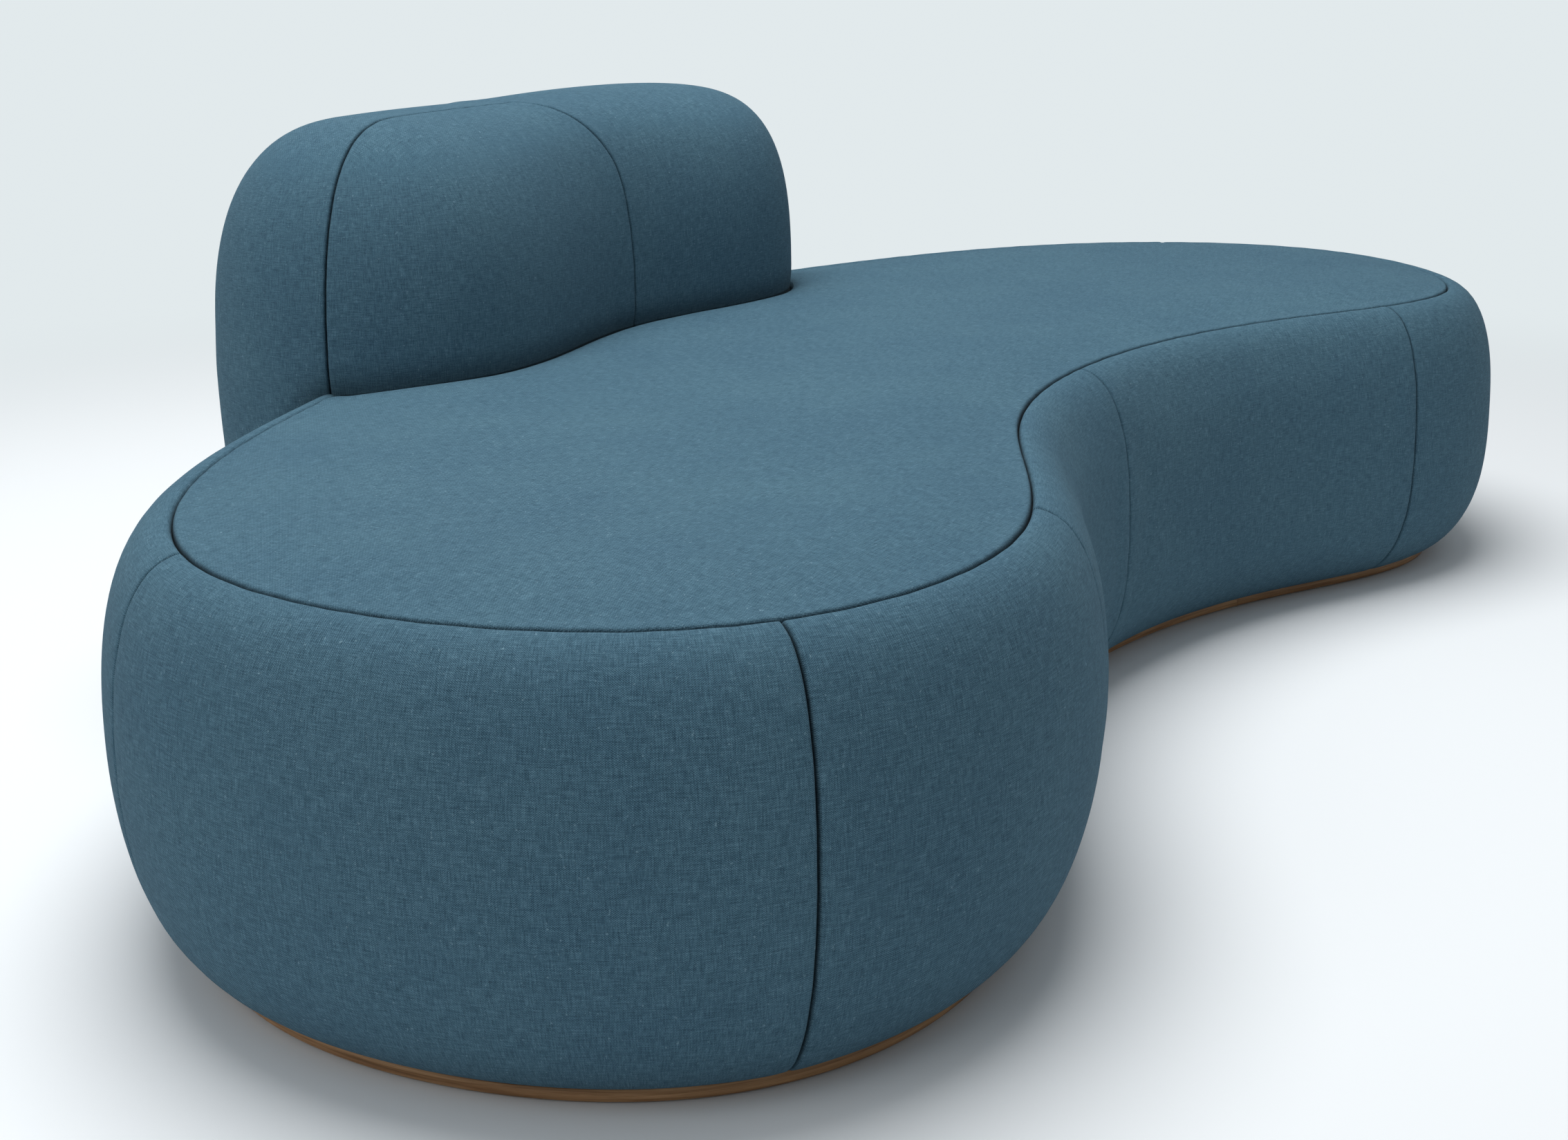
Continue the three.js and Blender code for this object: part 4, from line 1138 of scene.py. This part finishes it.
co = places_of(seat_top.data)
top_places = co[:len(co) // 2]
back_outline = back_edge(round_steps(4, 1600))[0]
gap = near_line(top_places[:, :2], back_outline) * ~inside_loop(top_places[:, :2], back_outline)
top_places[:, 2] -= (dip_depth * np.exp(-gap / dip_reach)
                     - roll_height * np.exp(-((gap - roll_place) / roll_width) ** 2))
seat_top.data.vertices.foreach_set("co", co.ravel())

back_room = room_for_back()
for panel in met_by_back:
    cut = panel.modifiers.new("cut", "BOOLEAN")
    cut.operation, cut.solver, cut.object = "DIFFERENCE", "EXACT", back_room
    fresh = evaluated_mesh(panel)
    panel.modifiers.clear()
    panel.data = fresh
    for poly in fresh.polygons:
        poly.material_index = 0
        poly.use_smooth = True
bpy.data.objects.remove(back_room)

for k, panel in enumerate(side_panels):
    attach(panel, "root")
    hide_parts(f"seat_cover_side_{k + 1}", f"seat_foam_side_{k + 1}")
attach(seat_top, "root")
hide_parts("seat_cover_top", "seat_foam_topper", "seat_foam_core")
for panel, nodes in ((back_front, ("back_cover_front", "back_foam_front", "back_foam_left")),
                     (back_right_panel, ("back_cover_right", "back_foam_right", "back_foam_top")),
                     (back_rear, ("back_cover_rear", "back_foam_rear"))):
    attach(panel, "root")
    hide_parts(*nodes)


# The room: a plain pale floor, even light from above and a little more from the left, and the
# camera where the photograph was taken from.

backdrop_colour, floor_half = (0.76, 0.82, 0.84, 1), 15


def shown_rays(tree):
    """One where a ray from the camera, a reflection or clear glass looks, else nought."""
    path = node_of(tree, "ShaderNodeLightPath")
    seen = path.outputs["Is Camera Ray"]
    for ray in ("Is Glossy Ray", "Is Transmission Ray"):
        seen = worked(tree, "MAXIMUM", seen, path.outputs[ray])
    return seen


def pale_floor():
    """A pale floor that keeps the shadow near the sofa and runs into the backdrop further off."""
    material, tree, shader = new_material("pale_floor")
    shown = shown_rays(tree)
    ground = blended(tree, shown, (0.74, 0.76, 0.78, 1), (0.84, 0.87, 0.89, 1))
    fill(tree, shader, {"Base Color": ground, "Roughness": 0.85, "Specular IOR Level": 0.1})
    away = node_of(tree, "ShaderNodeVectorMath", {0: own_places(tree)}, operation="LENGTH")
    far = ranged(tree, away.outputs["Value"], 1.5, 3.2, interpolation_type="SMOOTHSTEP")
    glow = node_of(tree, "ShaderNodeEmission", {"Color": backdrop_colour, "Strength": 1.0})
    mixed = node_of(tree, "ShaderNodeMixShader", {
        0: worked(tree, "MULTIPLY", far, shown), 1: shader.outputs[0], 2: glow.outputs[0]})
    out = next(node for node in tree.nodes if node.type == "OUTPUT_MATERIAL")
    tree.links.new(mixed.outputs[0], out.inputs["Surface"])
    mesh = bpy.data.meshes.new("floor")
    corners = [(x * floor_half, y * floor_half, 0) for x, y in ((-1, -1), (1, -1), (1, 1), (-1, 1))]
    mesh.from_pydata(corners, [], [(0, 1, 2, 3)])
    mesh.materials.append(material)
    new_piece("floor", mesh)


pale_floor()
world = bpy.data.worlds.new("studio")
bpy.context.scene.world = world
world.use_nodes = True
sky = world.node_tree
sky.nodes.clear()
sky_spot = node_of(sky, "ShaderNodeTexCoord").outputs["Generated"]
way_up = node_of(sky, "ShaderNodeSeparateXYZ", {0: sky_spot}).outputs[2]
level = ranged(sky, way_up, -0.1, 0.9, 0.17, 0.42)
soft = node_of(sky, "ShaderNodeBackground", {"Color": (0.95, 0.98, 1, 1), "Strength": level})
pale = node_of(sky, "ShaderNodeBackground", {"Color": backdrop_colour, "Strength": 1.0})
mixed = node_of(sky, "ShaderNodeMixShader", {
    0: shown_rays(sky), 1: soft.outputs[0], 2: pale.outputs[0]})
node_of(sky, "ShaderNodeOutputWorld", {0: mixed.outputs[0]})


def lamp(name, place, target, size, power):
    data = bpy.data.lights.new(name, "AREA")
    data.shape, data.size, data.energy = "DISK", size, power
    light = new_piece(name, data)
    light.location = place
    light.rotation_mode = "QUATERNION"
    light.rotation_quaternion = (Vector(target) - Vector(place)).to_track_quat("-Z", "Y")


lamp("overhead", (-0.2, 0.45, 4.2), (0, 0.1, 0.3), 3.4, 170)
lamp("left", (-3.6, 0.4, 2.2), (0, 0, 0.3), 2.4, 22)

focal_pixels, image_width, film_width = 3069, 2268, 36
camera_place = (-2.337, -1.218 + sofa_shift, 0.8893)
heading, pitch, roll = np.array((0.8667, 0.4989)), 0.287, 0.005
camera_data = bpy.data.cameras.new("camera")
camera_data.sensor_width, camera_data.lens = film_width, focal_pixels / image_width * film_width
camera = new_piece("camera", camera_data)
ahead = Vector((heading[0] * math.cos(pitch), heading[1] * math.cos(pitch), -math.sin(pitch)))
level_right = Vector((heading[1], -heading[0], 0))
level_up = level_right.cross(ahead)
right_way = level_right * math.cos(roll) - level_up * math.sin(roll)
up_way = level_up * math.cos(roll) + level_right * math.sin(roll)
turned = Matrix((right_way, up_way, -ahead)).transposed().to_4x4()
camera.matrix_world = Matrix.Translation(camera_place) @ turned
bpy.context.scene.camera = camera
bpy.context.scene.view_settings.view_transform = "Standard"
